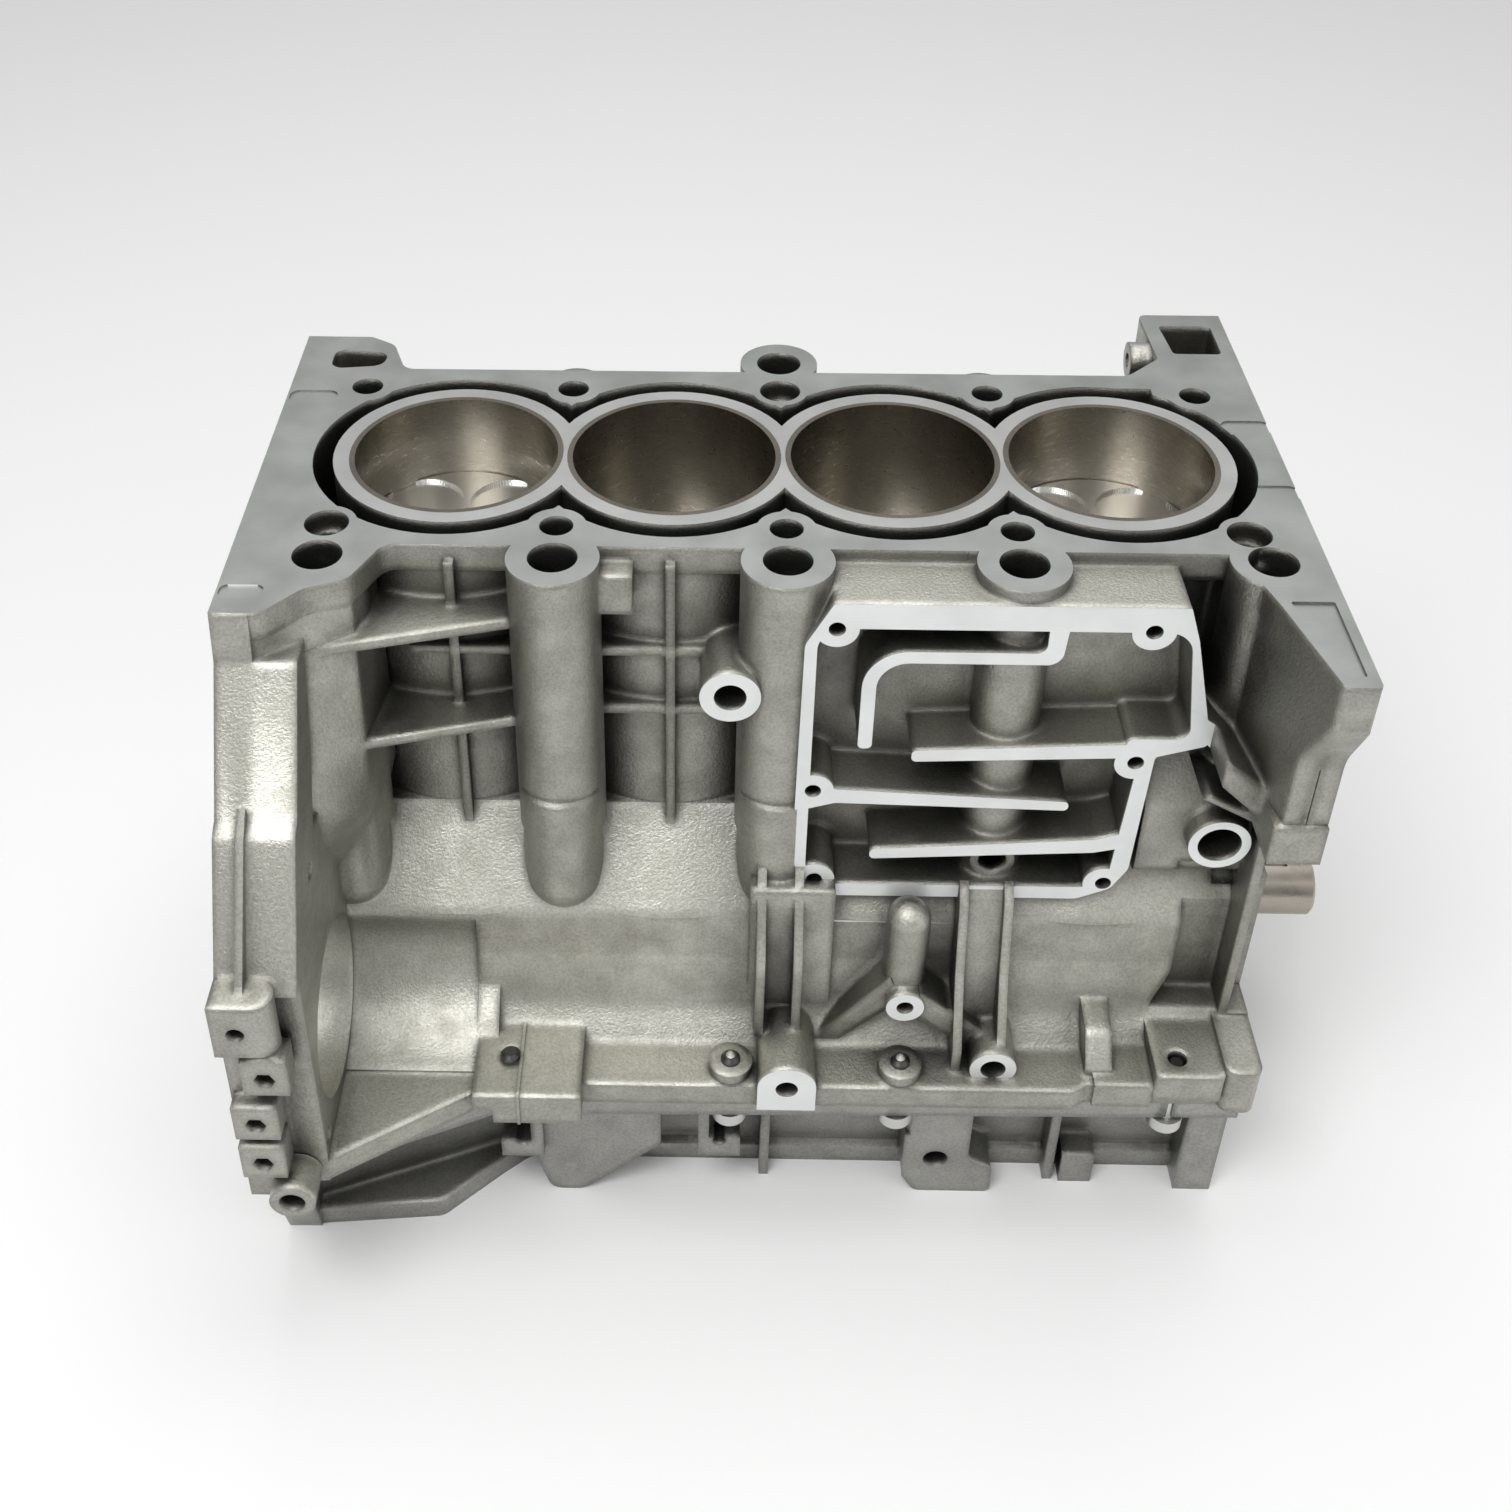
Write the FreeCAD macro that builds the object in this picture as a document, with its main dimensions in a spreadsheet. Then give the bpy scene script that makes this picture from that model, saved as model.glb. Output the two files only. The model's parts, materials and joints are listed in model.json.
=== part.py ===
"""Short block of an in-line four-cylinder engine, millimetres.

Frame: the origin is on the crankshaft's centre line in the face that the transmission bolts to.
+X runs along the crankshaft to its nose, +Z up to the deck, -Y to the breather and starter side.
"""

import FreeCAD, Part
import math
import os
import re
import Sketcher

os.makedirs("parts", exist_ok=True)
doc = FreeCAD.newDocument("short_block")

# ---------------------------------------------------------------- driving sizes

SIZES = [
    ("bore", 81.0, "cylinder bore"),
    ("stroke", 87.3, "piston stroke"),
    ("bore_pitch", 87.0, "distance from one bore to the next"),
    ("first_bore", 76.0, "transmission face to the nearest bore"),
    ("end_reach", 68.5, "last bore to the timing face"),
    ("deck_height", 235.0, "crankshaft centre line to deck"),
    ("rod_length", 157.5, "connecting rod between centres"),
    ("rest_angle", 72.0, "crank angle of the end throws, from top, towards -Y"),
    ("liner_wall", 2.2, "cast-iron liner wall"),
    ("liner_length", 135.0, "cast-iron liner length"),
    ("sleeve_radius", 49.0, "aluminium around each liner"),
    ("jacket_radius", 57.0, "outer wall of the water jacket, inside"),
    ("jacket_depth", 82.0, "water jacket below the deck"),
    ("jacket_wall", 5.5, "outer wall of the water jacket"),
    ("deck_thickness", 12.0, "deck plate"),
    ("deck_edge", 63.5, "bore line to the deck's straight edges"),
    ("head_bolt_offset", 50.5, "bore line to a head bolt row"),
    ("head_bolt_radius", 6.5, "head bolt hole"),
    ("head_bolt_depth", 105.0, "head bolt hole depth"),
    ("head_boss_radius", 13.0, "metal around a head bolt hole"),
    ("dowel_seat_radius", 8.5, "counterbore for a head dowel"),
    ("dowel_seat_depth", 9.0, "counterbore depth"),
    ("column_offset", 71.0, "bore line to the oil drain columns"),
    ("back_column", 73.8, "bore line to the oil drain on the exhaust side"),
    ("column_radius", 17.5, "oil drain column"),
    ("drain_radius", 9.4, "oil drain hole"),
    ("column_foot", 68.0, "height of the drain columns' rounded feet"),
    ("shoulder_top", 105.0, "height where the crankcase starts to widen"),
    ("shoulder_edge", 68.0, "height where the crankcase is at its width"),
    ("crankcase_half", 92.0, "crankcase outer wall from the centre line"),
    ("crankcase_radius", 87.0, "round hollow for the crank in each bay"),
    ("skirt_half", 109.0, "crankcase foot where it meets its flange"),
    ("flange_half", 131.0, "joint flange edge from the centre line"),
    ("back_flange_half", 124.0, "joint flange edge on the exhaust side"),
    ("flange_thickness", 11.0, "joint flange"),
    ("bulkhead", 20.0, "main bearing bulkhead thickness"),
    ("bell_plate", 14.0, "transmission flange plate"),
    ("bell_front", 178.0, "transmission flange, starter side edge"),
    ("bell_back", 150.0, "transmission flange, exhaust side edge"),
    ("bell_deck_front", 107.0, "transmission flange at the deck, starter side"),
    ("bell_deck_back", 93.0, "transmission flange at the deck, exhaust side"),
    ("starter_plate", 30.0, "starter pad face from the transmission face"),
    ("starter_y", -126.0, "starter bore centre"),
    ("starter_z", 52.0, "starter bore centre"),
    ("starter_radius", 36.0, "starter bore"),
    ("starter_pad_radius", 80.0, "machined starter face"),
    ("chamber_front", 90.0, "breather chamber's machined face"),
    ("chamber_wall", 5.6, "breather chamber wall"),
    ("chamber_left", 212.0, "breather chamber, transmission end"),
    ("chamber_right", 352.0, "breather chamber, timing end"),
    ("chamber_drop", 5.5, "breather chamber roof below the deck"),
    ("chamber_floor", 81.0, "breather chamber underside"),
    ("chamber_step", 164.0, "height where the chamber narrows"),
    ("chamber_bulge", 15.0, "extra width of the upper half at its step"),
    ("chamber_back", 66.0, "breather chamber back wall"),
    ("baffle", 5.4, "baffle thickness"),
    ("cover_screw_radius", 3.2, "breather cover screw hole"),
    ("cover_boss_radius", 8.2, "breather cover screw boss"),
    ("timing_rim", 12.5, "timing face rim depth"),
    ("ear_reach", 140.0, "mounting ear from the centre line"),
    ("sensor_boss_radius", 11.7, "knock sensor boss"),
    ("sensor_hole_radius", 6.2, "knock sensor hole"),
    ("sensor_x", 186.0, "knock sensor boss place"),
    ("sensor_z", 183.0, "knock sensor boss height"),
    ("port_radius", 8.6, "oil gallery port"),
    ("port_boss_radius", 12.2, "oil gallery port boss"),
    ("port_x", 379.0, "oil gallery port place"),
    ("port_z", 118.0, "oil gallery port height"),
    ("rib", 3.6, "cast rib thickness"),
    ("lower_depth", 72.0, "joint face to oil pan face"),
    ("lower_half", 100.0, "lower block outer wall from the centre line"),
    ("lower_inner", 88.0, "lower block inner wall from the centre line"),
    ("pan_rail", 10.0, "oil pan rail thickness"),
    ("pan_half", 104.0, "oil pan rail edge from the centre line"),
    ("cap_seat", 50.0, "main bolt seat below the centre line"),
    ("main_bolt_offset", 42.0, "main bolt row from the centre line"),
    ("main_bolt_radius", 5.0, "main bolt shank"),
    ("main_bolt_reach", 48.0, "main bolt tip above the centre line"),
    ("edge_bolt_offset", 121.0, "joint bolt row from the centre line"),
    ("edge_bolt_radius", 4.0, "joint bolt shank"),
    ("edge_bolt_tip", 19.0, "joint bolt tip above the joint"),
    ("thread_gap", 0.05, "room round a bolt in its thread"),
    ("bolt_gap", 0.5, "room round a bolt in a plain hole"),
    ("main_journal", 55.0, "main journal diameter"),
    ("main_journal_length", 22.0, "main journal length"),
    ("crankpin", 45.0, "crankpin diameter"),
    ("crankpin_length", 24.0, "crankpin length"),
    ("oil_film", 0.03, "radial running clearance in the bearings"),
    ("main_shell", 2.0, "main bearing shell"),
    ("rod_shell", 1.5, "rod bearing shell"),
    ("shell_width", 18.0, "bearing shell width"),
    ("thrust_washer", 1.9, "thrust washer"),
    ("thrust_recess", 1.0, "thrust washer seat in the bulkhead"),
    ("thrust_radius", 36.0, "thrust washer outer radius"),
    ("counterweight_radius", 71.0, "crank counterweight"),
    ("web_radius", 33.0, "crank web round the main journal"),
    ("pin_web_radius", 28.0, "crank web round the crankpin"),
    ("crank_flange_radius", 41.0, "flywheel flange"),
    ("crank_flange", 10.0, "flywheel flange thickness"),
    ("flywheel_circle", 60.0, "flywheel bolt circle diameter"),
    ("flywheel_hole", 5.0, "flywheel bolt hole radius"),
    ("nose_radius", 14.0, "crank nose"),
    ("nose_reach", 54.5, "crank nose beyond the timing face"),
    ("rod_width", 21.0, "connecting rod at its eyes"),
    ("rod_shank", 14.0, "connecting rod at its shank"),
    ("big_end_radius", 30.0, "big end outside"),
    ("small_end_radius", 15.5, "small end outside"),
    ("rod_bolt_offset", 28.6, "rod bolt from the crankpin centre"),
    ("rod_bolt_radius", 3.75, "rod bolt shank"),
    ("rod_shoulder", 33.6, "rod bolt shoulder half width"),
    ("rod_shoulder_height", 13.0, "rod bolt shoulder above and below the split"),
    ("wrist_pin_radius", 10.0, "piston pin"),
    ("wrist_pin_bore", 5.5, "piston pin inner radius"),
    ("wrist_pin_length", 56.0, "piston pin length"),
    ("clip_wire", 1.6, "wire of the pin circlips"),
    ("wrist_gap", 0.5, "room round the piston pin in the rod's small end"),
    ("pin_fit", 0.01, "piston pin in its bosses"),
    ("skirt_gap", 0.06, "piston to liner, radial"),
    ("ring_gap", 0.03, "piston ring to liner, radial"),
    ("piston_skirt", 18.0, "piston below its pin"),
    ("crown", 7.5, "piston crown thickness"),
    ("piston_wall", 5.5, "piston wall behind the rings"),
    ("ring_depth", 3.2, "piston ring radial depth"),
    ("ring_height", 1.2, "compression ring height"),
    ("oil_ring_height", 2.0, "oil ring height"),
    ("ring_side_gap", 0.05, "piston ring to its groove"),
]

sheet = doc.addObject("Spreadsheet::Sheet", "Sizes")
for row, (alias, number, remark) in enumerate(SIZES, start=1):
    sheet.set("A%d" % row, remark)
    sheet.set("B%d" % row, str(number))
    sheet.setAlias("B%d" % row, alias)
doc.recompute()


class Cells:
    """The sheet's cells, read by name."""

    def __getattr__(self, alias):
        return float(sheet.get(alias))


size = Cells()
ALIASES = {alias for alias, _, _ in SIZES}
BORES = range(4)
MAINS = range(5)


def bound(text):
    """An expression in which every size is read from the sheet."""
    return re.sub(r"[a-z][a-z0-9_]*", lambda m: "Sizes." + m[0] if m[0] in ALIASES else m[0], text)


def bore_x(index):
    """Bore centre, counted from the timing end."""
    return size.first_bore + (3 - index) * size.bore_pitch


def main_x(index):
    """Main bearing centre, counted from the timing end."""
    return size.first_bore + (3.5 - index) * size.bore_pitch


def block_end():
    """Timing face of the castings."""
    return bore_x(0) + size.end_reach


def chamber_roof():
    """Top of the breather chamber."""
    return size.deck_height - size.chamber_drop


def at(x, y, z):
    return FreeCAD.Vector(x, y, z)


X_AXIS = at(1, 0, 0)
Y_AXIS = at(0, 1, 0)
Z_AXIS = at(0, 0, 1)

# ---------------------------------------------------------------- sketched bodies


def body(label):
    """A new part made from sketches."""
    piece = doc.addObject("PartDesign::Body", label)
    piece.Label = label
    return piece


def sketch(piece, plane, offset="0"):
    """A sketch on one of the body's own origin planes."""
    drawing = piece.newObject("Sketcher::SketchObject", piece.Name + "_sketch")
    origin_plane = [f for f in piece.Origin.OriginFeatures if f.Role == plane][0]
    drawing.AttachmentSupport = [(origin_plane, "")]
    drawing.MapMode = "FlatFace"
    drawing.setExpression("AttachmentOffset.Base.z", bound(offset))
    return drawing


def tie(drawing, kind, place, first, second, text):
    """Bind one coordinate or radius of a sketch to the sheet."""
    if kind == "Radius":
        number = drawing.addConstraint(Sketcher.Constraint(kind, place, 1.0))
    else:
        number = drawing.addConstraint(Sketcher.Constraint(kind, first, 1, place, second, 1.0))
    drawing.setExpression("Constraints[%d]" % number, bound(text))


def outline(drawing, corners):
    """A closed straight-sided outline, each corner bound to the sheet."""
    first = drawing.GeometryCount
    count = len(corners)
    ring = [at(math.cos(math.tau * k / count), math.sin(math.tau * k / count), 0) for k in range(count)]
    drawing.addGeometry([Part.LineSegment(ring[k], ring[(k + 1) % count]) for k in range(count)], False)
    for k in range(count):
        end = first + (k + 1) % count
        drawing.addConstraint(Sketcher.Constraint("Coincident", first + k, 2, end, 1))
    for k, (across, up) in enumerate(corners):
        tie(drawing, "DistanceX", first + k, -1, 1, across)
        tie(drawing, "DistanceY", first + k, -1, 1, up)
    return drawing


def circle(drawing, across, up, radius):
    """A circle bound to the sheet."""
    place = drawing.addGeometry(Part.Circle(at(0, 0, 0), Z_AXIS, 1.0), False)
    tie(drawing, "DistanceX", place, -1, 3, across)
    tie(drawing, "DistanceY", place, -1, 3, up)
    tie(drawing, "Radius", place, -1, 3, radius)
    return drawing


def feature(piece, kind, drawing, length=None, both=False, back=False):
    """A pad or pocket of a sketch; a pocket with no length goes right through."""
    made = piece.newObject("PartDesign::" + kind, piece.Name + "_" + kind.lower())
    made.Profile = drawing
    if length is None:
        made.Type = "ThroughAll"
    else:
        made.setExpression("Length", bound(length))
    made.Midplane = both
    made.Reversed = back
    return made


def turned(piece, kind, drawing, axis="V_Axis"):
    """A full revolution or groove of a sketch about one of its own axes."""
    made = piece.newObject("PartDesign::" + kind, piece.Name + "_" + kind.lower())
    made.Profile = drawing
    made.ReferenceAxis = (drawing, [axis])
    made.Angle = 360.0
    return made


# ---------------------------------------------------------------- bound primitives


def tube_part(label, outer, inner, length, half=0.0, start=0.0):
    """A ring or half ring along X, from two bound cylinders."""
    pair = []
    for radius, name in ((outer, "_outside"), (inner, "_inside")):
        drum = doc.addObject("Part::Cylinder", label + name)
        drum.setExpression("Radius", bound(radius))
        drum.setExpression("Height", bound(length))
        drum.setExpression("Placement.Base.x", bound("-(%s) / 2" % length))
        drum.Placement.Rotation = FreeCAD.Rotation(Z_AXIS, X_AXIS)
        pair.append(drum)
    if half:
        pair[0].Angle = half
        spin = FreeCAD.Rotation(X_AXIS, start)
        pair[0].Placement.Rotation = spin.multiply(pair[0].Placement.Rotation)
    ring = doc.addObject("Part::Cut", label)
    ring.Base, ring.Tool = pair
    ring.Label = label
    return ring


# ---------------------------------------------------------------- casting helpers


def rounded_wire(corners, lift):
    """A closed wire through corners (a, b) or (a, b, radius)."""
    points = [FreeCAD.Vector(c[0], c[1], 0) for c in corners]
    edges = []
    leave = []
    enter = []
    for k, corner in enumerate(corners):
        here = points[k]
        before = (points[k - 1] - here).normalize()
        after = (points[(k + 1) % len(points)] - here).normalize()
        radius = corner[2] if len(corner) > 2 else 0.0
        half = before.getAngle(after) / 2.0
        if radius == 0.0 or abs(half - math.pi / 2) < 0.01:
            enter.append(here)
            leave.append(here)
            edges.append(None)
            continue
        reach = radius / math.tan(half)
        middle = (before + after).normalize()
        centre = here + middle * (radius / math.sin(half))
        enter.append(here + before * reach)
        leave.append(here + after * reach)
        edges.append(Part.Arc(lift(enter[k]), lift(centre - middle * radius), lift(leave[k])).toShape())
    run = []
    for k in range(len(points)):
        if edges[k] is not None:
            run.append(edges[k])
        follow = enter[(k + 1) % len(points)]
        if leave[k].distanceToPoint(follow) > 0.001:
            run.append(Part.makeLine(lift(leave[k]), lift(follow)))
    return Part.Wire(run)


def prism_z(corners, low, high):
    """An (x, y) outline pushed up from low to high."""
    face = Part.Face(rounded_wire(corners, lambda p: at(p.x, p.y, low)))
    return face.extrude(at(0, 0, high - low))


def prism_x(corners, start, end):
    """A (y, z) outline pushed along the crankshaft."""
    face = Part.Face(rounded_wire(corners, lambda p: at(start, p.x, p.y)))
    return face.extrude(at(end - start, 0, 0))


def prism_y(corners, front, back):
    """An (x, z) outline pushed away from the breather side."""
    face = Part.Face(rounded_wire(corners, lambda p: at(p.x, front, p.y)))
    return face.extrude(at(0, back - front, 0))


def box(x_low, x_high, y_low, y_high, z_low, z_high):
    return Part.makeBox(x_high - x_low, y_high - y_low, z_high - z_low, at(x_low, y_low, z_low))


def bar_x(y, z, radius, start, end):
    return Part.makeCylinder(radius, end - start, at(start, y, z), X_AXIS)


def bar_y(x, z, radius, front, back):
    return Part.makeCylinder(radius, back - front, at(x, front, z), Y_AXIS)


def bar_z(x, y, radius, low, high):
    return Part.makeCylinder(radius, high - low, at(x, y, low), Z_AXIS)


def fused(shapes):
    return shapes[0].multiFuse(shapes[1:]) if len(shapes) > 1 else shapes[0]


def casting(label, solids, hollows):
    """One cast piece: its solids joined, its hollows and holes cut out."""
    shape = fused(solids).cut(hollows)
    piece = doc.addObject("Part::Feature", label)
    piece.Label = label
    piece.Shape = shape.Solids[0] if len(shape.Solids) == 1 else shape
    return piece


# ---------------------------------------------------------------- cylinder block


def bank_solids():
    """Cylinder walls, deck plate, head bolt bosses and oil drain columns."""
    deck = size.deck_height
    outer = size.jacket_radius + size.jacket_wall
    solids = []
    for k in BORES:
        solids.append(bar_z(bore_x(k), 0, outer, size.shoulder_edge - 20, deck - 2))
        flare = Part.makeCone(size.crankcase_half, outer, size.shoulder_top - size.shoulder_edge,
                              at(bore_x(k), 0, size.shoulder_edge), Z_AXIS)
        inside = box(size.bell_plate - 6, block_end() - size.timing_rim, -size.bore * 2, size.bore * 2, 0, deck)
        solids.append(flare.common(inside))
    waist = size.head_bolt_offset
    solids.append(box(bore_x(3), bore_x(0), -waist, waist, size.shoulder_edge, deck - 2))
    edge = size.deck_edge
    end = block_end()
    plate = [(0, -size.bell_deck_front), (18, -size.bell_deck_front, 8), (31, -92, 6), (46, -86, 8),
             (56, -edge, 8), (end - 33, -edge, 4), (end - 24, -93, 4), (end - 13, -size.ear_reach, 3),
             (end, -size.ear_reach, 2), (end, 121), (end - 34, 121, 3), (end - 34, 82, 6),
             (end - 50, edge + 3, 8), (46, edge + 2, 6), (39, 86, 8), (28, size.bell_deck_back, 5),
             (0, size.bell_deck_back)]
    solids.append(prism_z(plate, deck - size.deck_thickness, deck))
    for k in MAINS:
        for side in (-1, 1):
            solids.append(bar_z(main_x(k), side * size.head_bolt_offset, size.head_boss_radius + side,
                                size.shoulder_edge, deck))
    for k in (1, 2, 3, 4):
        solids.append(bar_z(main_x(k), -size.column_offset, size.column_radius, size.shoulder_top, deck))
    solids.append(bar_z(main_x(0) + 5, -size.column_offset + 3, size.column_radius - 1.5, deck - 89, deck))
    for k in (2, 3, 4):
        solids.append(drain_column(main_x(k)))
    solids.append(bar_z(main_x(2), size.back_column, size.column_radius - 1, size.column_foot, deck))
    return solids


def drain_column(x):
    """Thick lower half of an oil drain column, with a round foot."""
    radius = size.column_radius - 1.5
    y = -size.column_offset - 4.5
    column = bar_z(x, y, radius, size.column_foot - 4, 128)
    foot = [edge for edge in column.Edges if abs(edge.CenterOfMass.z - size.column_foot + 4) < 0.01]
    return column.makeFillet(radius - 1, foot)


def bank_hollows():
    """Bores, liner seats, water jacket, head bolt holes and oil drains."""
    deck = size.deck_height
    seat = size.bore / 2 + size.liner_wall
    jackets = []
    sleeves = []
    hollows = []
    for k in BORES:
        jackets.append(bar_z(bore_x(k), 0, size.jacket_radius, deck - size.jacket_depth, deck + 1))
        sleeves.append(bar_z(bore_x(k), 0, size.sleeve_radius, deck - size.jacket_depth - 1, deck + 2))
        hollows.append(bar_z(bore_x(k), 0, seat, deck - size.liner_length, deck + 1))
        hollows.append(bar_z(bore_x(k), 0, size.bore / 2, 40, deck))
    jackets.append(box(bore_x(0), bore_x(0) + 26, 34, 56, deck - size.jacket_depth, deck + 1))
    for k in MAINS:
        for side in (-1, 1):
            y = side * size.head_bolt_offset
            sleeves.append(bar_z(main_x(k), y, size.head_boss_radius - 1.5, 60, deck + 2))
            hollows.append(bar_z(main_x(k), y, size.head_bolt_radius, deck - size.head_bolt_depth, deck + 1))
        if k > 0:
            hollows.append(bar_z(main_x(k), -size.column_offset, size.drain_radius, -1, deck + 1))
    hollows.append(bar_z(main_x(0) + 5, -size.column_offset + 3, size.drain_radius, deck - 80, deck + 1))
    hollows.append(bar_z(main_x(2), size.back_column, size.drain_radius, -1, deck + 1))
    for x, y in ((main_x(4), -1), (main_x(0), -1), (main_x(2), 1)):
        hollows.append(bar_z(x, y * size.head_bolt_offset, size.dowel_seat_radius,
                             deck - size.dowel_seat_depth, deck + 1))
    slot = [(14, 65, 5), (36, 68, 6), (38, 79, 5), (14, 82, 5)]
    hollows.append(prism_z(slot, deck - 60, deck + 1))
    hollows.append(fused(jackets).cut(fused(sleeves)))
    return hollows


def crankcase_solids():
    """Crankcase walls, joint flange and the flare to the transmission flange."""
    half = size.crankcase_half
    foot = size.skirt_half
    top = size.shoulder_top
    edge = size.shoulder_edge
    rim = size.flange_thickness
    end = block_end()
    wall = size.jacket_radius + size.jacket_wall
    profile = [(-wall, top), (-half + 2, edge, 8), (-half, edge - 22, 20), (-half - 5, 24, 20), (-foot, rim, 4),
               (-foot, 0), (foot - 4, 0), (foot - 4, rim, 4), (half + 5, 24, 20), (half, edge - 22, 20),
               (half - 2, edge, 8), (wall, top)]
    solids = [prism_x(profile, size.bell_plate - 6, end - size.timing_rim)]
    front = size.flange_half
    back = size.back_flange_half
    flange = [(0, -size.bell_front), (30, -size.bell_front + 8), (92, -front, 12), (end - 76, -front, 2),
              (end - 70, -front + 4), (end, -front + 4), (end, back), (92, back, 12), (30, size.bell_back - 6),
              (0, size.bell_back)]
    solids.append(prism_z(flange, 0, rim))
    reach = size.bell_back - 14
    near = Part.makePolygon([at(26, 80, 0), at(26, reach, 0), at(26, reach, rim), at(26, 96, 84),
                             at(26, 80, 84), at(26, 80, 0)])
    far = Part.makePolygon([at(96, 80, 0), at(96, front - 6, 0), at(96, front - 6, rim - 1),
                            at(96, half - 1, 34), at(96, 80, 34), at(96, 80, 0)])
    solids.append(Part.makeLoft([near, far], True, True))
    slope = [(-80, 0), (-126, 0), (-126, rim + 1), (-112, rim + 4), (-half - 3, 31), (-80, 34)]
    solids.append(prism_x(slope, size.starter_plate - 2, 92))
    return solids


def corner_solids():
    """Rounded corner between the transmission flange and the first drain column."""
    deck = size.deck_height
    sections = []
    for height, y_flange, y_bulge, y_column, x_column in ((95, 94, 92, 84, 38), (128, 116, 112, 93, 46),
                                                          (deck - 69, 116, 110, 92, 47),
                                                          (deck - 12, 106, 93, 84, 46)):
        sections.append(Part.makePolygon([at(x, -y, height) for x, y in
                                          ((14, 60), (14, y_flange), (30, y_bulge), (x_column, y_column),
                                           (x_column + 5, 60), (14, 60))]))
    return [Part.makeLoft(sections[k:k + 2], True, True) for k in range(3)]


def crankcase_hollows():
    """Round bays for the crank, main bearing bores and main bolt threads."""
    hollows = []
    bay = size.bore_pitch - size.bulkhead
    for k in BORES:
        start = bore_x(k) - bay / 2
        hollows.append(bar_x(0, 0, size.crankcase_radius, start, start + bay))
    seat = size.main_journal / 2 + size.oil_film + size.main_shell
    hollows.append(bar_x(0, 0, seat, -1, block_end() + 1))
    hollows.append(bar_x(0, 0, size.crank_flange_radius + 3, -1, main_x(4) - size.bulkhead / 2))
    for side in (-1, 1):
        face = main_x(2) + side * (size.bulkhead / 2 - size.thrust_recess)
        hollows.append(bar_x(0, 0, size.thrust_radius + 0.2, min(face, face + side * 2),
                             max(face, face + side * 2)))
    for k in MAINS:
        for side in (-1, 1):
            hollows.append(bar_z(main_x(k), side * size.main_bolt_offset,
                                 size.main_bolt_radius + size.thread_gap, -1, size.main_bolt_reach + 6))
    for x, y in edge_bolts():
        hollows.append(bar_z(x, y, size.edge_bolt_radius + size.thread_gap, -1, 34))
    return hollows


def edge_bolts():
    """Joint bolt places (x, y) along both edges of the joint."""
    front = [98, 189, 259, block_end() - 33]
    return [(x, -size.edge_bolt_offset) for x in front] + [(x, size.back_flange_half - 11) for x in front]


LUGS = ((16.5, 80), (10, 54), (10, 31))


def bell_solids():
    """Transmission flange with its thick starter side, pads and lugs."""
    deck = size.deck_height
    front = size.bell_front
    plate = [(-size.bell_deck_front, deck), (-size.bell_deck_front - 3, deck - 20, 4), (-140, 166), (-146, 163, 3),
             (-front + 3, 112, 8), (-front, 100), (-front, 0), (size.bell_back, 0), (size.bell_back, 60, 20),
             (118, 128, 30), (size.bell_deck_back, 190, 12), (size.bell_deck_back, deck)]
    thick = [(-size.bell_deck_front - 3, deck - 20), (-140, 166), (-146, 163, 3), (-front + 3, 112, 8),
             (-front, 100), (-front, 0), (-front + 26, 0), (-front + 34, 96, 10), (-92, deck - 29, 6),
             (-90, deck - 20)]
    face = size.starter_plate
    step = box(17, face + 1, -front - 1, -front + 7, -1, 112)
    solids = [prism_x(plate, 0, size.bell_plate), prism_x(thick, 0, face).cut(step)]
    pad = bar_x(-142, 69, size.starter_pad_radius, 0, face)
    solids.append(pad.common(prism_x(plate, 0, face)).cut(step))
    reach = front + 8
    solids.append(box(0, 16, -reach, -front + 10, 92, 118))
    solids.append(bar_z(16, -front - 1, 7, 92, 118))
    for x, height in LUGS:
        solids.append(box(x - 8.5, x + 8.5, -reach, -front + 4, height - 9, height + 9))
    solids.append(bar_y(LUGS[0][0], LUGS[0][1] + 3, 8.5, -reach, -front + 4))
    solids.append(bar_y(19, 9, 9, -reach - 2, -front + 6))
    solids.append(prism_x([(-140, 172), (-149, 163), (-front - 4, 114), (-front - 4, 100), (-front + 8, 100),
                           (-135, 160)], 9, 12))
    for height in (deck - 25, deck - 73):
        gusset = [(26, -98), (104, -77), (104, -50), (26, -50)]
        solids.append(prism_z(gusset, height - size.rib, height))
    solids.append(bar_x(72, 215, 12, 0, size.bell_plate + 4))
    return solids


def bell_hollows():
    """Starter bore, its screw holes, lug recesses and transmission dowel holes."""
    reach = size.bell_front + 8
    plate = size.starter_plate
    hollows = [bar_x(size.starter_y, size.starter_z, size.starter_radius, -1, plate),
               bar_x(size.starter_y, size.starter_z, size.starter_radius + 2, plate, 83)]
    for y, z, radius in ((-134, 135, 3.2), (-148, 6, 3.2), (-164, 19, 3.6)):
        hollows.append(bar_x(y, z, radius, plate - 16, plate + 1))
    hollows.append(bar_y(9, 104, 3.4, -reach - 1, -reach + 14))
    for x, height in LUGS:
        hexagon = Part.Face(Part.makePolygon([at(x + 4.2 * math.cos(k * math.tau / 6), -reach - 1,
                                                 height - 1 + 4.2 * math.sin(k * math.tau / 6))
                                              for k in range(7)]))
        hollows.append(hexagon.extrude(at(0, 9, 0)))
    hollows.append(bar_y(19, 9, 5.2, -reach - 3, -reach + 14))
    for y, z in ((-95, 214), (-163, 96), (82, 214), (134, 24)):
        hollows.append(bar_x(y, z, 5.4, -1, size.bell_plate + 6))
    return hollows


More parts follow.
